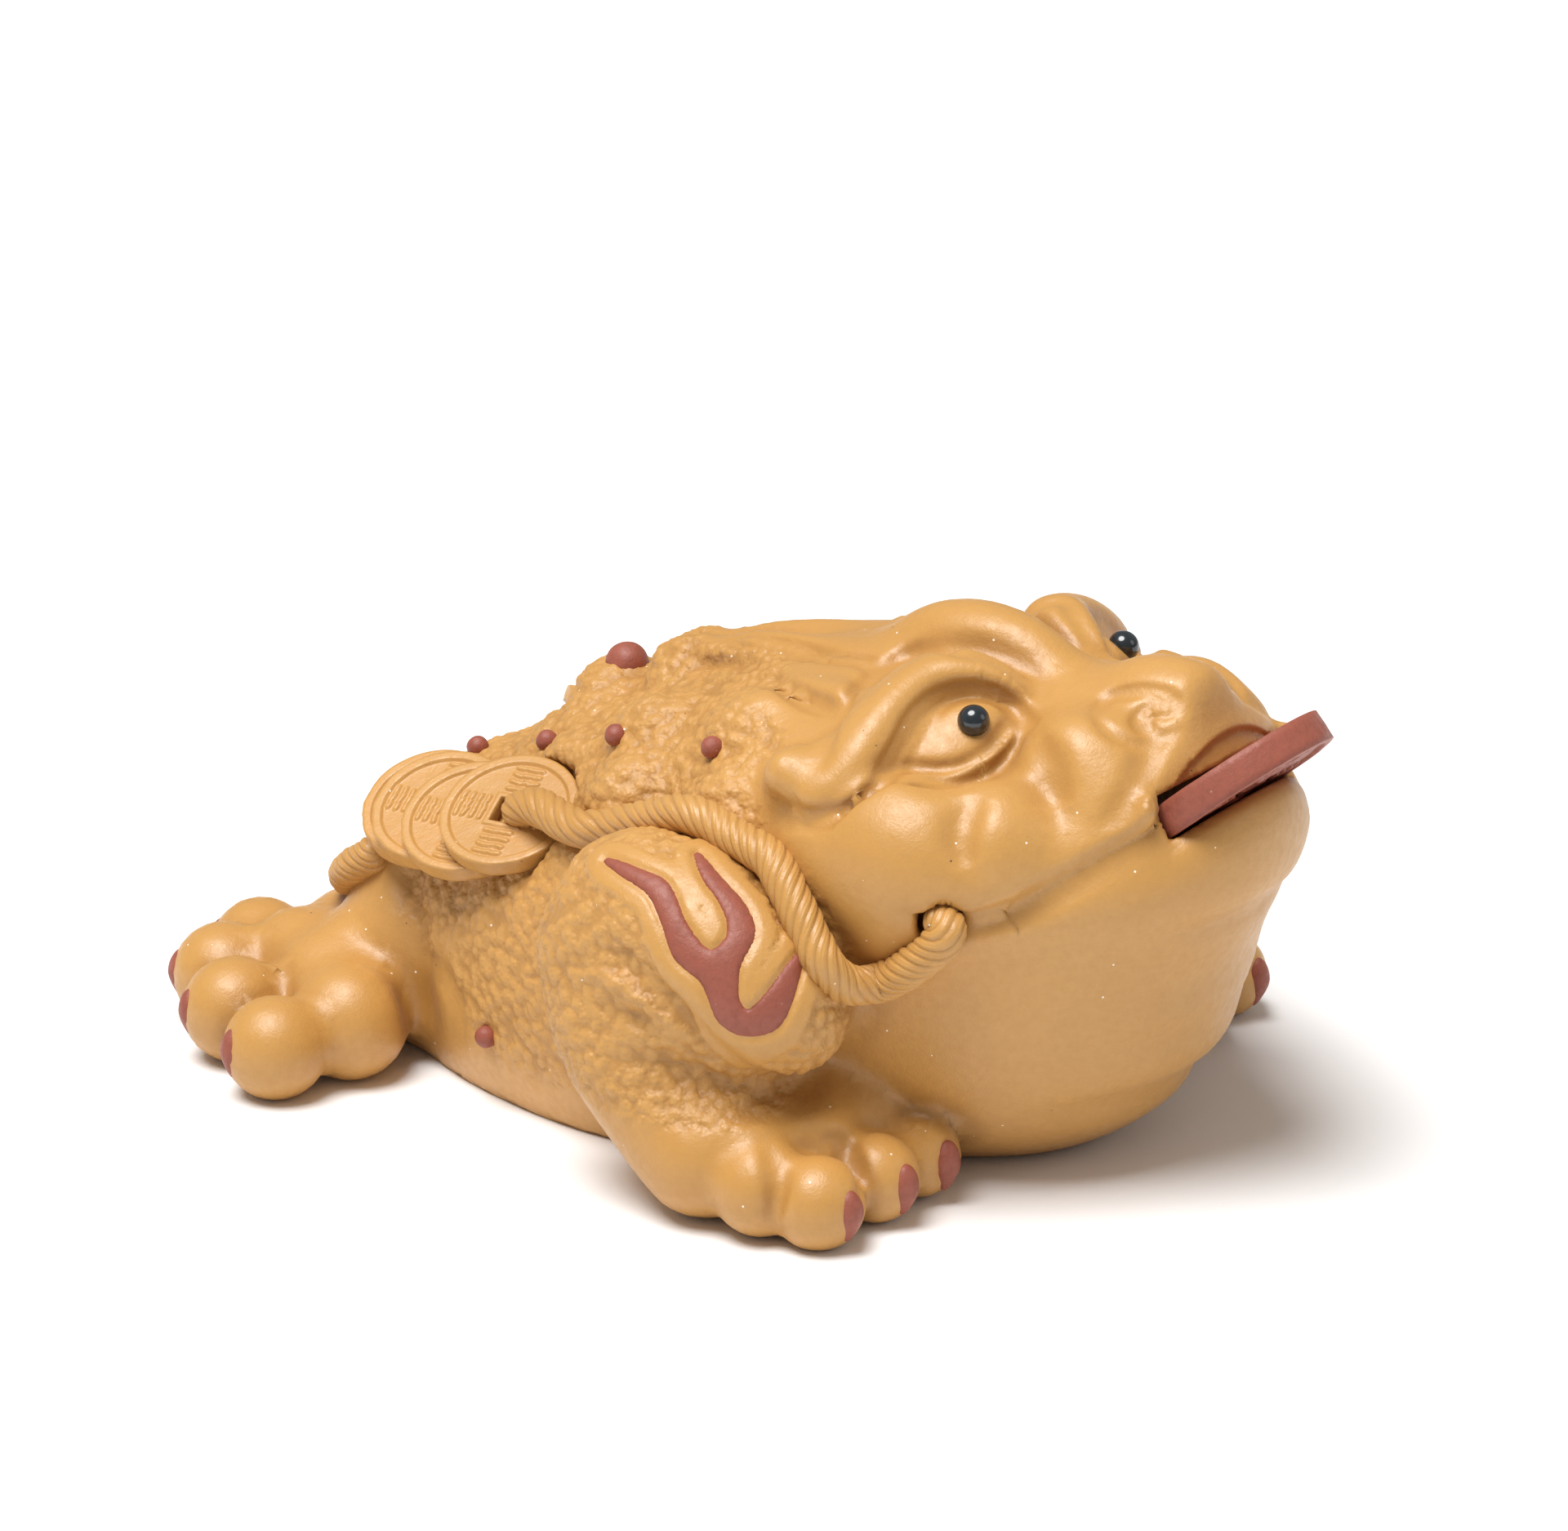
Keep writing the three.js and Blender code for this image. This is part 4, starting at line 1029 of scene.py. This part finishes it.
def toad_body():
    c = Clay()
    c.steps = list(clay.steps)
    for place in SWELLS:
        c.crease([place, place], SWELL_WIDTH, -SWELL_HEIGHT, WHOLE)
    cut_mouth(c)
    cut_cheek_hole(c)
    for _, side in SIDES:
        for place in COIN_CENTRES:
            out = np.array(flip(COIN_OUT, side))
            cut_coin_bed(c, np.array(flip(place, side)), out / np.linalg.norm(out))
    ground(c)
    points, triangles = skin(c, *BODY_BOX, CELL)
    # halved twice, the second time only where it shows
    for level in range(2):
        pebbled = pebbled_share(points) > PEBBLED_ENOUGH
        smooth = busy(points) | (np.abs(flame_gap(points)) < BORDER_FINE)
        if level:
            pebbled &= points[:, 1] < PLAIN_FROM
            smooth &= bends(c, points, triangles)
        points, triangles = refine(points, triangles, smooth | pebbled)
        points = c.settle(points, rounds=2)
    out = c.slope(points)
    border = flame_gap(points)
    share = pebbled_share(points) * smooth_step(*BORDER_PEBBLES, border)
    plain = smooth_step(PLAIN_FROM - PLAIN_BLEND, PLAIN_FROM, points[:, 1])
    lumps = pebbles(points, PEBBLE_SIZE) * (1 - plain) + pebbles(points, PLAIN_PEBBLE_SIZE) * plain
    lumps = PEBBLE_HEIGHT * lumps + UNEVEN * ramble(points, UNEVEN_SIZE) - PEBBLE_SINK
    rise = lumps * share
    rise += BORDER_HEIGHT * smooth_step(*BORDER_END, border) * smooth_step(*BORDER_START, border)
    rise *= smooth_step(*RELIEF_START, points[:, 2])
    points = points + out * rise[:, None]
    # Painted shade: darker where clay closes in over the skin, as in creases, and in the gaps between
    # pebbles.
    open_near, open_far = (c.field(points + out * reach) / reach for reach in (OPEN_NEAR, OPEN_FAR))
    painted_shade = np.clip(1.0 - np.minimum(open_near, open_far * FAR_WEIGHT), 0, 1)
    painted_shade = np.clip(painted_shade + PEBBLE_PAINTED_SHADE * share * smooth_step(0.0, -PEBBLE_SINK, lumps), 0, 1)
    piece("figure", world(points), triangles, "clay", "toad_body", {"rough": share, "painted_shade": painted_shade})


# Ropes: twisted strands swept along the skin, in millimetres.
ROPE_STRANDS = 8
ROPE_PITCH = 10.5
ROPE_SLACK = 0.2
ROPE_COLUMNS = 96
ROPE_STEP = 0.45
ROPE_SPREAD = 24
ROPE_GROOVE = 0.10
# How much painted shade the grooves between strands get.
ROPE_PAINTED_SHADE = 0.6
# How uneven the strands and the fibres on them are, how the twist wanders, and how the thickness changes.
STRAND_UNEVEN = 0.03
FIBRE = 0.01
TWIST_WANDER = 0.3
TWIST_WANDER_LENGTH = 7
ROPE_SWELL = 0.02
ROPE_SWELL_RATE = 1.3
ROPE_TIP = 0.02
ROPE_FIRST_SIDE = (0.3, 0.2, 1.0)


def along(points, step):
    """A smooth line through the points with even steps, and how far along each step is, in millimetres."""
    dense = spread(points, ROPE_SPREAD)
    far = np.concatenate([[0], np.cumsum(length(np.diff(dense, axis=0)))])
    at = np.linspace(0, far[-1], int(far[-1] / step) + 1)
    return np.stack([np.interp(at, far, dense[:, i]) for i in range(3)], 1), at


def rope(name, points):
    """A twisted rope with rounded ends through points in metres."""
    line, at = along(np.array(points) / METRES, ROPE_STEP)
    way = unit(np.gradient(line, axis=0))
    side = np.cross(way[0], ROPE_FIRST_SIDE)
    rows = []
    radius = ROPE_DIAMETER / 2
    turn, _ = circle(ROPE_COLUMNS)
    strand = 1 - ROPE_GROOVE * (1 - np.abs(np.sin(turn * ROPE_STRANDS / 2)) ** 0.5)
    strand *= 1 + STRAND_UNEVEN * np.sin(turn * 3 + 1) * np.sin(turn * 2)
    strand += FIBRE * np.cos(turn * ROPE_STRANDS * 3)
    end = at[-1]
    for centre, ahead, far in zip(line, way, at):
        side = side - ahead * (side @ ahead)
        side /= np.linalg.norm(side)
        up = np.cross(ahead, side)
        twist = 2 * np.pi * far / ROPE_PITCH * (1 - ROPE_SLACK * far / end)
        angle = turn + (twist + TWIST_WANDER * np.sin(far / TWIST_WANDER_LENGTH))
        to_end = min(far, end - far)
        rounding = np.sqrt(max(1 - max(1 - to_end / radius, 0) ** 2, ROPE_TIP))
        size = radius * strand * rounding * (1 + ROPE_SWELL * np.sin(far * ROPE_SWELL_RATE))
        rows.append(centre + size[:, None] * (np.cos(angle)[:, None] * side + np.sin(angle)[:, None] * up))
    points = np.vstack(rows + [line[:1], line[-1:]])
    # Painted shade in the grooves between strands, darkest at their bottom.
    groove = np.tile((1 - strand) / ROPE_GROOVE, len(line))
    groove = np.concatenate([groove, [0, 0]])
    values = {"painted_shade": np.clip(groove, 0, 1) * ROPE_PAINTED_SHADE}
    piece("laid_" + name, points * METRES, capped(len(line), ROPE_COLUMNS), "clay", name, values)


def skin_line(points):
    """Points moved to where a rope's middle is over the skin, in metres."""
    height = ROPE_DIAMETER * ROPE_RISE / UNIT
    return [Vector(p) for p in world(clay.settle(np.array(points, float), height))]


def coin_place(side, i):
    """The centre of a coin of the back, in metres, and the way that it faces."""
    return Vector(world(flip(COIN_CENTRES[i], side))), world_way(flip(COIN_OUT, side))


def ropes():
    for word, side in SIDES:
        corner, *line = [flip(p, side) for p in SIDE_ROPE]
        hole, out = seat(corner)
        inside = hole + out * (ROPE_END_MARGIN - CHEEK_HOLE_DEPTH) * METRES
        outside = hole + out * ROPE_DIAMETER * ROPE_RISE * METRES
        centre, way = coin_place(side, 0)
        over = centre + way * ROPE_DIAMETER * ROPE_ON_COIN * METRES + Vector((0, -ROPE_DIAMETER * METRES, 0))
        rope(f"rope_{word}", [inside, outside, *skin_line(line), over, centre])
    rope("rope_rump", skin_line(RUMP_ROPE))


# Coins: rings from the square hole out over the face, round the edge and back underneath. A rim has a width,
# a height and a soft edge, in millimetres.
COIN_COLUMNS = 208
COIN_FACE_ROWS = 44
COIN_RIM = (1.3, 0.4)
HOLE_RIM = (0.55, 0.22)
RIM_EDGE = 0.15
HOLE_EDGE = 0.2
# Strokes, in radii: first row, rows apart, columns apart, half length and what is added to it, and lean.
STROKE_ROWS = 4
STROKE_COLUMNS = 3
STROKE_START = 0.38
STROKE_ROW = 0.125
STROKE_COLUMN = 0.14
STROKE_LENGTH = (0.035, 0.03)
STROKE_LEAN = 0.5
# Their height and half width in millimetres, and their soft edge outside and inside of that.
STROKE_RISE = 0.3
STROKE_WIDTH = 0.27
STROKE_EDGE = (0.12, 0.1)
# A coin's edge: falls at the rim and hole, in millimetres and from this share of the way out; its rings, in
# shares of radius and half thickness; and how far a torn coin is worn back and ragged.
RIM_FALL_OFF = (0.12, 0.96)
HOLE_FALL_OFF = (0.1, 0.02)
EDGE_RINGS = ((1.0, 0.55), (1.004, 0.0), (1.0, -0.55))
WORN = 0.014
WEAR_SIZE = 0.7
RAGGED = 0.012
RAGGED_SIZE = 0.5
MOUTH_COIN_TORN = 0.15
# How uneven a face is, and how much painted shade its deepest places and its edge get, more where the edge
# is torn.
COIN_WARP = 0.05
WARP_SIZE = 1.6
COIN_PAINTED_SHADE = 0.22
EDGE_PAINTED_SHADE = 0.2
TORN_PAINTED_SHADE = 0.5


def strokes(seed):
    """Short strokes in four groups round the hole: the middle and half the length of each."""
    out = []
    for group in range(4):
        turn = group * np.pi / 2
        forward, across = np.array([np.cos(turn), np.sin(turn)]), np.array([-np.sin(turn), np.cos(turn)])
        for row, column in itertools.product(range(STROKE_ROWS), range(STROKE_COLUMNS)):
            pick = shares(np.array([seed + group * 1.7, row + 0.3, column + 0.7]))
            lean = (pick[0] - 0.5) * STROKE_LEAN
            way = across * np.cos(lean) + forward * np.sin(lean)
            middle = forward * (STROKE_START + STROKE_ROW * row) + across * (column - 1) * STROKE_COLUMN
            out.append((middle, way * (STROKE_LENGTH[0] + STROKE_LENGTH[1] * pick[2])))
    return out


def coin_face(flat, radius, seed):
    """Height over a coin's field, in millimetres."""
    far = length(flat)
    field = radius - COIN_RIM[0]
    height = COIN_RIM[1] * smooth_step(field - RIM_EDGE, field + RIM_EDGE, far)
    hole = np.abs(flat).max(1) - COIN_HOLE_WIDTH / 2
    height = np.maximum(height, HOLE_RIM[1] * smooth_step(HOLE_RIM[0] + HOLE_EDGE, HOLE_RIM[0], hole))
    for middle, half in strokes(seed):
        gap = to_segment(flat, (middle - half) * radius, (middle + half) * radius)[1]
        mark = STROKE_RISE * smooth_step(STROKE_WIDTH + STROKE_EDGE[0], STROKE_WIDTH - STROKE_EDGE[1], gap)
        height = np.maximum(height, mark * (far < field))
    return height


def coin(name, diameter, thickness, matrix, finish, seed, torn):
    """A coin at its place; the seed picks its strokes and wear."""
    radius, top = diameter / 2, thickness / 2
    _, ring = circle(COIN_COLUMNS)
    square = ring * (COIN_HOLE_WIDTH / 2 / np.abs(ring).max(1))[:, None]
    around = np.column_stack([ring * radius, np.full(COIN_COLUMNS, seed * 7)])
    wear = 1 - torn * WORN * (1 + ramble(around, WEAR_SIZE)) * smooth_step(0.5, 0.0, ring[:, 0])
    outer = ring * (radius * wear)[:, None]

    def face(face_seed, up):
        """Rings of one face from the hole out, and how much painted shade each gets, most where the face is
        lowest.
        """
        rings = []
        for share in np.linspace(0, 1, COIN_FACE_ROWS):
            flat = square * (1 - share) + outer * share
            edge = RIM_FALL_OFF[0] * smooth_step(RIM_FALL_OFF[1], 1.0, share)
            edge += HOLE_FALL_OFF[0] * smooth_step(HOLE_FALL_OFF[1], 0, share)
            height = coin_face(flat, radius, face_seed)
            level = up * (top - COIN_RIM[1] + height - edge)
            rings.append((np.column_stack([flat, level]), 1 - height / COIN_RIM[1]))
        return rings

    rings = face(seed, 1)
    for share, level in EDGE_RINGS:
        ragged = 1 + torn * RAGGED * ramble(around + level * 5, RAGGED_SIZE)[:, None]
        edge_ring = np.column_stack([outer * share * ragged, np.full(COIN_COLUMNS, top * level)])
        rings.append((edge_ring, np.full(COIN_COLUMNS, EDGE_PAINTED_SHADE + TORN_PAINTED_SHADE * torn)))
    rings += face(seed + 5, -1)[::-1]
    points = np.vstack([points for points, _ in rings])
    points[:, 2] += COIN_WARP * ramble(points, WARP_SIZE)
    # Painted shade on the coin: its low field and its edge are darker.
    painted_shade = np.clip(np.concatenate([painted_shade for _, painted_shade in rings]), 0, 1) * COIN_PAINTED_SHADE
    triangles = wrapped(len(rings), COIN_COLUMNS, closed_rows=True)[:, ::-1]
    piece("struck_" + name, placed(points, matrix), triangles, finish, name, {"painted_shade": painted_shade})


def coins():
    matrix = standing(Vector(world(MOUTH_COIN_CENTRE)), world_way(mouth_axis()), Vector((0, -1, 0)))
    coin("coin_mouth", MOUTH_COIN_DIAMETER, MOUTH_COIN_THICKNESS, matrix, "red_clay", 3.0, MOUTH_COIN_TORN)
    for word, side in SIDES:
        for i in range(len(COIN_CENTRES)):
            name, matrix = f"coin_{word}_{i + 1}", standing(*coin_place(side, i))
            coin(name, BACK_COIN_DIAMETER, BACK_COIN_THICKNESS, matrix, "clay", i + 1.0, 1.0)


# Beads, claws and flames: unevenness of beads and claws, flatness of an eye, taper and arch of a claw.
BEAD_UNEVEN = 0.03
EYE_FLAT = 0.97
CLAW_TAPER = 0.34
CLAW_TAPER_START = 0.2
CLAW_ARCH = 0.12


def bead(name, rough, radius, finish, rise=BEAD_RISE):
    centre, out = seat(rough, radius * rise)

    def shape(ball):
        if finish == "bead":
            return ball * (1, 1, EYE_FLAT)
        return ball * (1 + BEAD_UNEVEN * ramble(ball * 3 + radius, 1.0))[:, None]

    points, triangles = lump(radius, shape)
    piece("round_" + name, placed(points, standing(centre, out)), triangles, finish, name)


def claw(name, toe, toward):
    out = world_way(toward)
    centre = Vector(world(toe[:3])) + out * toe[3] * UNIT * CLAW_SINK * METRES

    def shape(ball):
        x, y, z = ball.T
        taper = 1 - CLAW_TAPER * smooth_step(CLAW_TAPER_START, -1, x)
        uneven = 1 + BEAD_UNEVEN * ramble(ball * 2 + np.array(toe[:3]), 1.0)
        return np.stack([x, y * taper, (z + CLAW_ARCH * (1 - x * x)) * taper], 1) * uneven[:, None]

    points, triangles = lump(np.array(CLAW) / 2, shape, rows=24, columns=36)
    piece("pressed_" + name, placed(points, standing(centre, out)), triangles, "red_clay", name)


def beads():
    for word, side in SIDES:
        bead(f"eye_{word}", flip(EYE, side), EYE_RADIUS, "bead")
        for i, wart in enumerate(WARTS):
            bead(f"wart_{word}_{i + 1}", flip(wart, side), WART_RADIUS, "red_clay")
        bead(f"wart_{word}_flank", flip(FLANK_WART, side), WART_RADIUS, "red_clay")
    bead("wart_great", GREAT_WART, GREAT_WART_RADIUS, "red_clay", GREAT_WART_RISE)


def claws():
    for word, side in SIDES:
        for i, (_, tip) in enumerate(FRONT_TOES):
            claw(f"claw_{word}_{i + 1}", flip(tip, side), flip(FRONT_CLAW_WAY, side))
    for i, (_, tip) in enumerate(HIND_TOES):
        claw(f"claw_hind_{i + 1}", tip, HIND_CLAW_WAYS[i])


# A flame, in layout units: its points' spacing, span and margin, its height and depth, its rounded edge and
# how far under the skin that starts. Then its rounds and share of settling, and the gap that joins points.
FLAME_CELL = 0.55
FLAME_SPAN = (17, 15)
FLAME_MARGIN = 0.3
FLAME_RISE = 0.45
FLAME_SINK = 1.6
FLAME_ROUND = 0.5
FLAME_START = 0.05
FLAME_ROUNDS = 12
FLAME_SHARE = 0.8
SAME_PLACE = 1e-6


def flame(word, side):
    """A flame let into the arm: its outline on a plane, laid on the skin, a little domed."""
    centre, forward, upward, out = plane_axes(side)
    outline = flame_outline(8)
    inner = grid([np.arange(-span, span, FLAME_CELL) for span in FLAME_SPAN])
    inner[:, 1] += (np.round(inner[:, 0] / FLAME_CELL).astype(int) % 2) * FLAME_CELL / 2
    inner = inner[outline_gap(inner, outline) < -FLAME_MARGIN]
    flat = np.vstack([outline, inner])
    edges = [(i, (i + 1) % len(outline)) for i in range(len(outline))]
    made, _, faces, *_ = delaunay_2d_cdt([Vector(p) for p in flat], edges, [], 1, SAME_PLACE)
    flat, faces = np.array([tuple(p) for p in made]), np.array(faces)
    on_plane = centre + flat[:, :1] * forward + flat[:, 1:] * upward
    for _ in range(FLAME_ROUNDS):
        on_plane = on_plane - out * (clay.field(on_plane) * FLAME_SHARE)[:, None]
    gap = -outline_gap(flat, outline)
    rise = FLAME_RISE * (1 - np.exp(-np.maximum(gap, 0) / FLAME_ROUND)) - FLAME_START
    points = np.vstack([on_plane + out * rise[:, None], on_plane - out * FLAME_SINK])
    pairs, count = np.unique(sides_of(faces), axis=0, return_counts=True)
    border = {tuple(pair) for pair in pairs[count == 1]}
    n = len(flat)
    walls = []
    for a, b, c in faces:
        for p, q in ((a, b), (b, c), (c, a)):
            if tuple(sorted((p, q))) in border:
                walls += [(q, p, p + n), (q, p + n, q + n)]
    triangles = np.vstack([faces, faces[:, ::-1] + n, walls])
    # one more turn where the plane's own directions make a left-handed pair
    if np.dot(np.cross(forward, upward), out) < 0:
        triangles = triangles[:, ::-1]
    piece(f"inlaid_flame_{word}", world(points), triangles, "red_clay", f"flame_{word}")


# Finishes: the colours of each clay, of the painted shade in its hollows and of what is strewn in it, of the
# eyes, and of the floor.
OCHRE = (0.53, 0.268, 0.066, 1)
OCHRE_PALE = (0.60, 0.315, 0.086, 1)
OCHRE_DARK = (0.46, 0.22, 0.050, 1)
OCHRE_PAINTED_SHADE = (0.34, 0.15, 0.030, 1)
PALE_GRAIN = (0.88, 0.80, 0.66, 1)
DARK_GRAIN = (0.10, 0.05, 0.025, 1)
RED = (0.29, 0.074, 0.043, 1)
RED_PALE = (0.35, 0.098, 0.060, 1)
RED_DARK = (0.19, 0.046, 0.026, 1)
RED_GRAIN = (0.42, 0.22, 0.17, 1)
BEAD_DARK = (0.010, 0.014, 0.018, 1)
BEAD_PALE = (0.022, 0.029, 0.034, 1)
FLOOR_GREY = (0.90, 0.90, 0.90, 1)
FLOOR_PALE = (0.93, 0.93, 0.93, 1)


class Tree:
    """A material's nodes, made one after another."""

    def __init__(self, name):
        self.material = bpy.data.materials.new(name)
        self.material.use_nodes = True
        self.tree = self.material.node_tree
        self.shader = self.tree.nodes["Principled BSDF"]
        self.place = self.add("ShaderNodeTexCoord").outputs["Object"]

    def add(self, kind, inputs=(), **facts):
        made = self.tree.nodes.new(kind)
        for key, value in facts.items():
            setattr(made, key, value)
        for key, value in dict(inputs).items():
            self.put(value, made.inputs[key])
        return made

    def put(self, value, socket):
        if isinstance(value, bpy.types.NodeSocket):
            self.tree.links.new(value, socket)
        else:
            socket.default_value = value

    def noise(self, scale, detail=3.0, roughness=0.5):
        """Cloudy noise about 0.5; more scale makes it finer."""
        inputs = {"Vector": self.place, "Scale": scale, "Detail": detail, "Roughness": roughness}
        return self.add("ShaderNodeTexNoise", inputs).outputs["Fac"]

    def cells(self, scale):
        return self.add("ShaderNodeTexVoronoi", {"Vector": self.place, "Scale": scale})

    def maths(self, operation, a, b):
        return self.add("ShaderNodeMath", {0: a, 1: b}, operation=operation).outputs[0]

    def ranged(self, value, low, high, to_low=0.0, to_high=1.0):
        """The value's range from low to high spread over another one, and clipped to it."""
        inputs = {"Value": value, "From Min": low, "From Max": high, "To Min": to_low, "To Max": to_high}
        return self.add("ShaderNodeMapRange", inputs).outputs["Result"]

    def mixed(self, share, a, b):
        made = self.add("ShaderNodeMix", data_type="RGBA")
        self.put(share, made.inputs["Factor"])
        self.put(a, made.inputs[6])
        self.put(b, made.inputs[7])
        return made.outputs[2]

    def value(self, name):
        return self.add("ShaderNodeAttribute", attribute_name=name).outputs["Fac"]

    def specks(self, scale, size, some):
        """Small round grains in some of the cells of a random pattern."""
        cell = self.cells(scale)
        near = self.maths("LESS_THAN", cell.outputs["Distance"], size)
        picked = self.add("ShaderNodeSeparateColor", {"Color": cell.outputs["Color"]}).outputs["Red"]
        return self.maths("MULTIPLY", near, self.maths("LESS_THAN", picked, some))

    def bump(self, height, distance, normal=None):
        made = self.add("ShaderNodeBump", {"Height": height, "Distance": distance, "Strength": 1.0})
        if normal:
            self.put(normal, made.inputs["Normal"])
        return made.outputs["Normal"]

    def shade(self, name, value):
        """Sets one input of the surface."""
        self.put(value, self.shader.inputs[name])


def clay_finish():
    t = Tree("ochre_clay")
    painted_shade = t.value("painted_shade")
    rough = t.value("rough")
    broad = t.noise(28, 2)
    fine = t.noise(900, 4, 0.6)
    grain = t.noise(3200, 3, 0.6)
    base = t.mixed(t.ranged(broad, 0.3, 0.7), OCHRE, OCHRE_PALE)
    base = t.mixed(t.ranged(fine, 0.35, 0.7, 0, 0.3), base, OCHRE_DARK)
    # Painted shade: darker in creases, between pebbles, in rope grooves and on the low field and edge of a
    # coin.
    base = t.mixed(t.ranged(painted_shade, 0.15, 0.8, 0, 0.65), base, OCHRE_PAINTED_SHADE)
    base = t.mixed(t.specks(520, 0.07, 0.16), base, PALE_GRAIN)
    base = t.mixed(t.specks(430, 0.05, 0.10), base, DARK_GRAIN)
    t.shade("Base Color", base)
    roughness = t.ranged(fine, 0.3, 0.7, 0.34, 0.48)
    t.shade("Roughness", t.maths("ADD", roughness, t.maths("MULTIPLY", rough, 0.10)))
    t.shade("Specular IOR Level", 0.6)
    t.shade("Sheen Weight", 0.04)
    t.shade("Sheen Roughness", 0.4)
    lumps = t.ranged(t.cells(1500).outputs["Distance"], 0.0, 0.6, 1.0, 0.0)
    normal = t.bump(t.maths("MULTIPLY", lumps, rough), 0.00008)
    normal = t.bump(fine, 0.00007, normal)
    normal = t.bump(grain, 0.00004, normal)
    t.shade("Normal", normal)
    return t.material


def red_clay_finish():
    t = Tree("red_clay")
    fine = t.noise(1100, 4, 0.6)
    grain = t.noise(3600, 3, 0.6)
    base = t.mixed(t.ranged(t.noise(60, 2), 0.3, 0.7), RED, RED_PALE)
    base = t.mixed(t.ranged(fine, 0.4, 0.7, 0, 0.4), base, RED_DARK)
    base = t.mixed(t.specks(700, 0.08, 0.2), base, RED_GRAIN)
    t.shade("Base Color", base)
    t.shade("Roughness", t.ranged(fine, 0.3, 0.7, 0.42, 0.60))
    t.shade("Specular IOR Level", 0.5)
    normal = t.bump(fine, 0.00009)
    normal = t.bump(grain, 0.00005, normal)
    t.shade("Normal", normal)
    return t.material


def bead_finish():
    t = Tree("dark_bead")
    cloud = t.noise(700, 3)
    t.shade("Base Color", t.mixed(t.ranged(cloud, 0.3, 0.7), BEAD_DARK, BEAD_PALE))
    t.shade("Roughness", t.ranged(cloud, 0.3, 0.7, 0.10, 0.18))
    t.shade("Specular IOR Level", 0.6)
    t.shade("Coat Weight", 0.4)
    t.shade("Coat Roughness", 0.08)
    t.shade("Normal", t.bump(t.noise(1500, 2), 0.00001))
    return t.material


materials = {"clay": clay_finish(), "red_clay": red_clay_finish(), "bead": bead_finish()}

toad_body()
ropes()
coins()
beads()
claws()
for word, side in SIDES:
    flame(word, side)


# The photograph's view: an even turn and height, in layout units from the figure's middle on the ground.
AZIMUTH = -55
ELEVATION = 20
DISTANCE = 980
FOCAL = 9212
PICTURE = (1920, 1875)
MIDDLE = (975, 1300)
SENSOR = 36
CLIP = (0.01, 20)
# Light from all round, and the floor and where the lamps point, in metres.
AMBIENT = 0.27
FLOOR_HALF = 3.0
LAMP_AIM = (0, 0, 0.02)


def look_from():
    a, e = np.radians([AZIMUTH, ELEVATION])
    back = Vector((np.sin(a) * np.cos(e), -np.cos(a) * np.cos(e), np.sin(e)))
    right = Vector((np.cos(a), np.sin(a), 0))
    up = back.cross(right)
    scale = DISTANCE / FOCAL
    target = right * (PICTURE[0] / 2 - MIDDLE[0]) * scale + up * (MIDDLE[1] - PICTURE[1] / 2) * scale
    eye = (target + back * DISTANCE) * UNIT * METRES
    camera = shown("camera", bpy.data.cameras.new("camera"))
    camera.data.lens = FOCAL / PICTURE[0] * SENSOR
    camera.data.sensor_width = SENSOR
    camera.data.clip_start, camera.data.clip_end = CLIP
    rows = [(right[i], up[i], back[i], eye[i]) for i in range(3)]
    camera.matrix_world = Matrix(rows + [(0, 0, 0, 1)])
    bpy.context.scene.camera = camera


def floor():
    mesh = bpy.data.meshes.new("floor")
    corners = [(x * FLOOR_HALF, y * FLOOR_HALF, 0) for x, y in ((-1, -1), (1, -1), (1, 1), (-1, 1))]
    mesh.from_pydata(corners, [], [(0, 1, 2, 3)])
    t = Tree("pale_floor")
    t.shade("Base Color", t.mixed(t.noise(6), FLOOR_GREY, FLOOR_PALE))
    t.shade("Roughness", 0.9)
    t.shade("Specular IOR Level", 0.0)
    mesh.materials.append(t.material)
    return shown("floor", mesh)


def lamp(name, place, size, power):
    data = bpy.data.lights.new(name, "AREA")
    data.shape = "DISK"
    data.size = size
    data.energy = power
    made = shown(name, data)
    made.location = place
    made.rotation_euler = (Vector(LAMP_AIM) - Vector(place)).to_track_quat("-Z", "Y").to_euler()
    return made


def studio():
    world_light = bpy.data.worlds.new("studio")
    world_light.use_nodes = True
    background = world_light.node_tree.nodes["Background"]
    background.inputs["Color"].default_value = (1, 1, 1, 1)
    background.inputs["Strength"].default_value = AMBIENT
    bpy.context.scene.world = world_light
    key = lamp("key", (-1.1, 0.35, 3.8), 2.7, 218)
    fill = lamp("fill", (1.4, -3.0, 1.8), 2.0, 10)
    view = bpy.context.scene.view_settings
    view.view_transform = "Standard"
    view.look = "None"
    return key, fill


look_from()
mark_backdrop(floor(), *studio())

sides = [[list(corner) for corner in pair] for pair in (cad_bounds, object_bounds())]
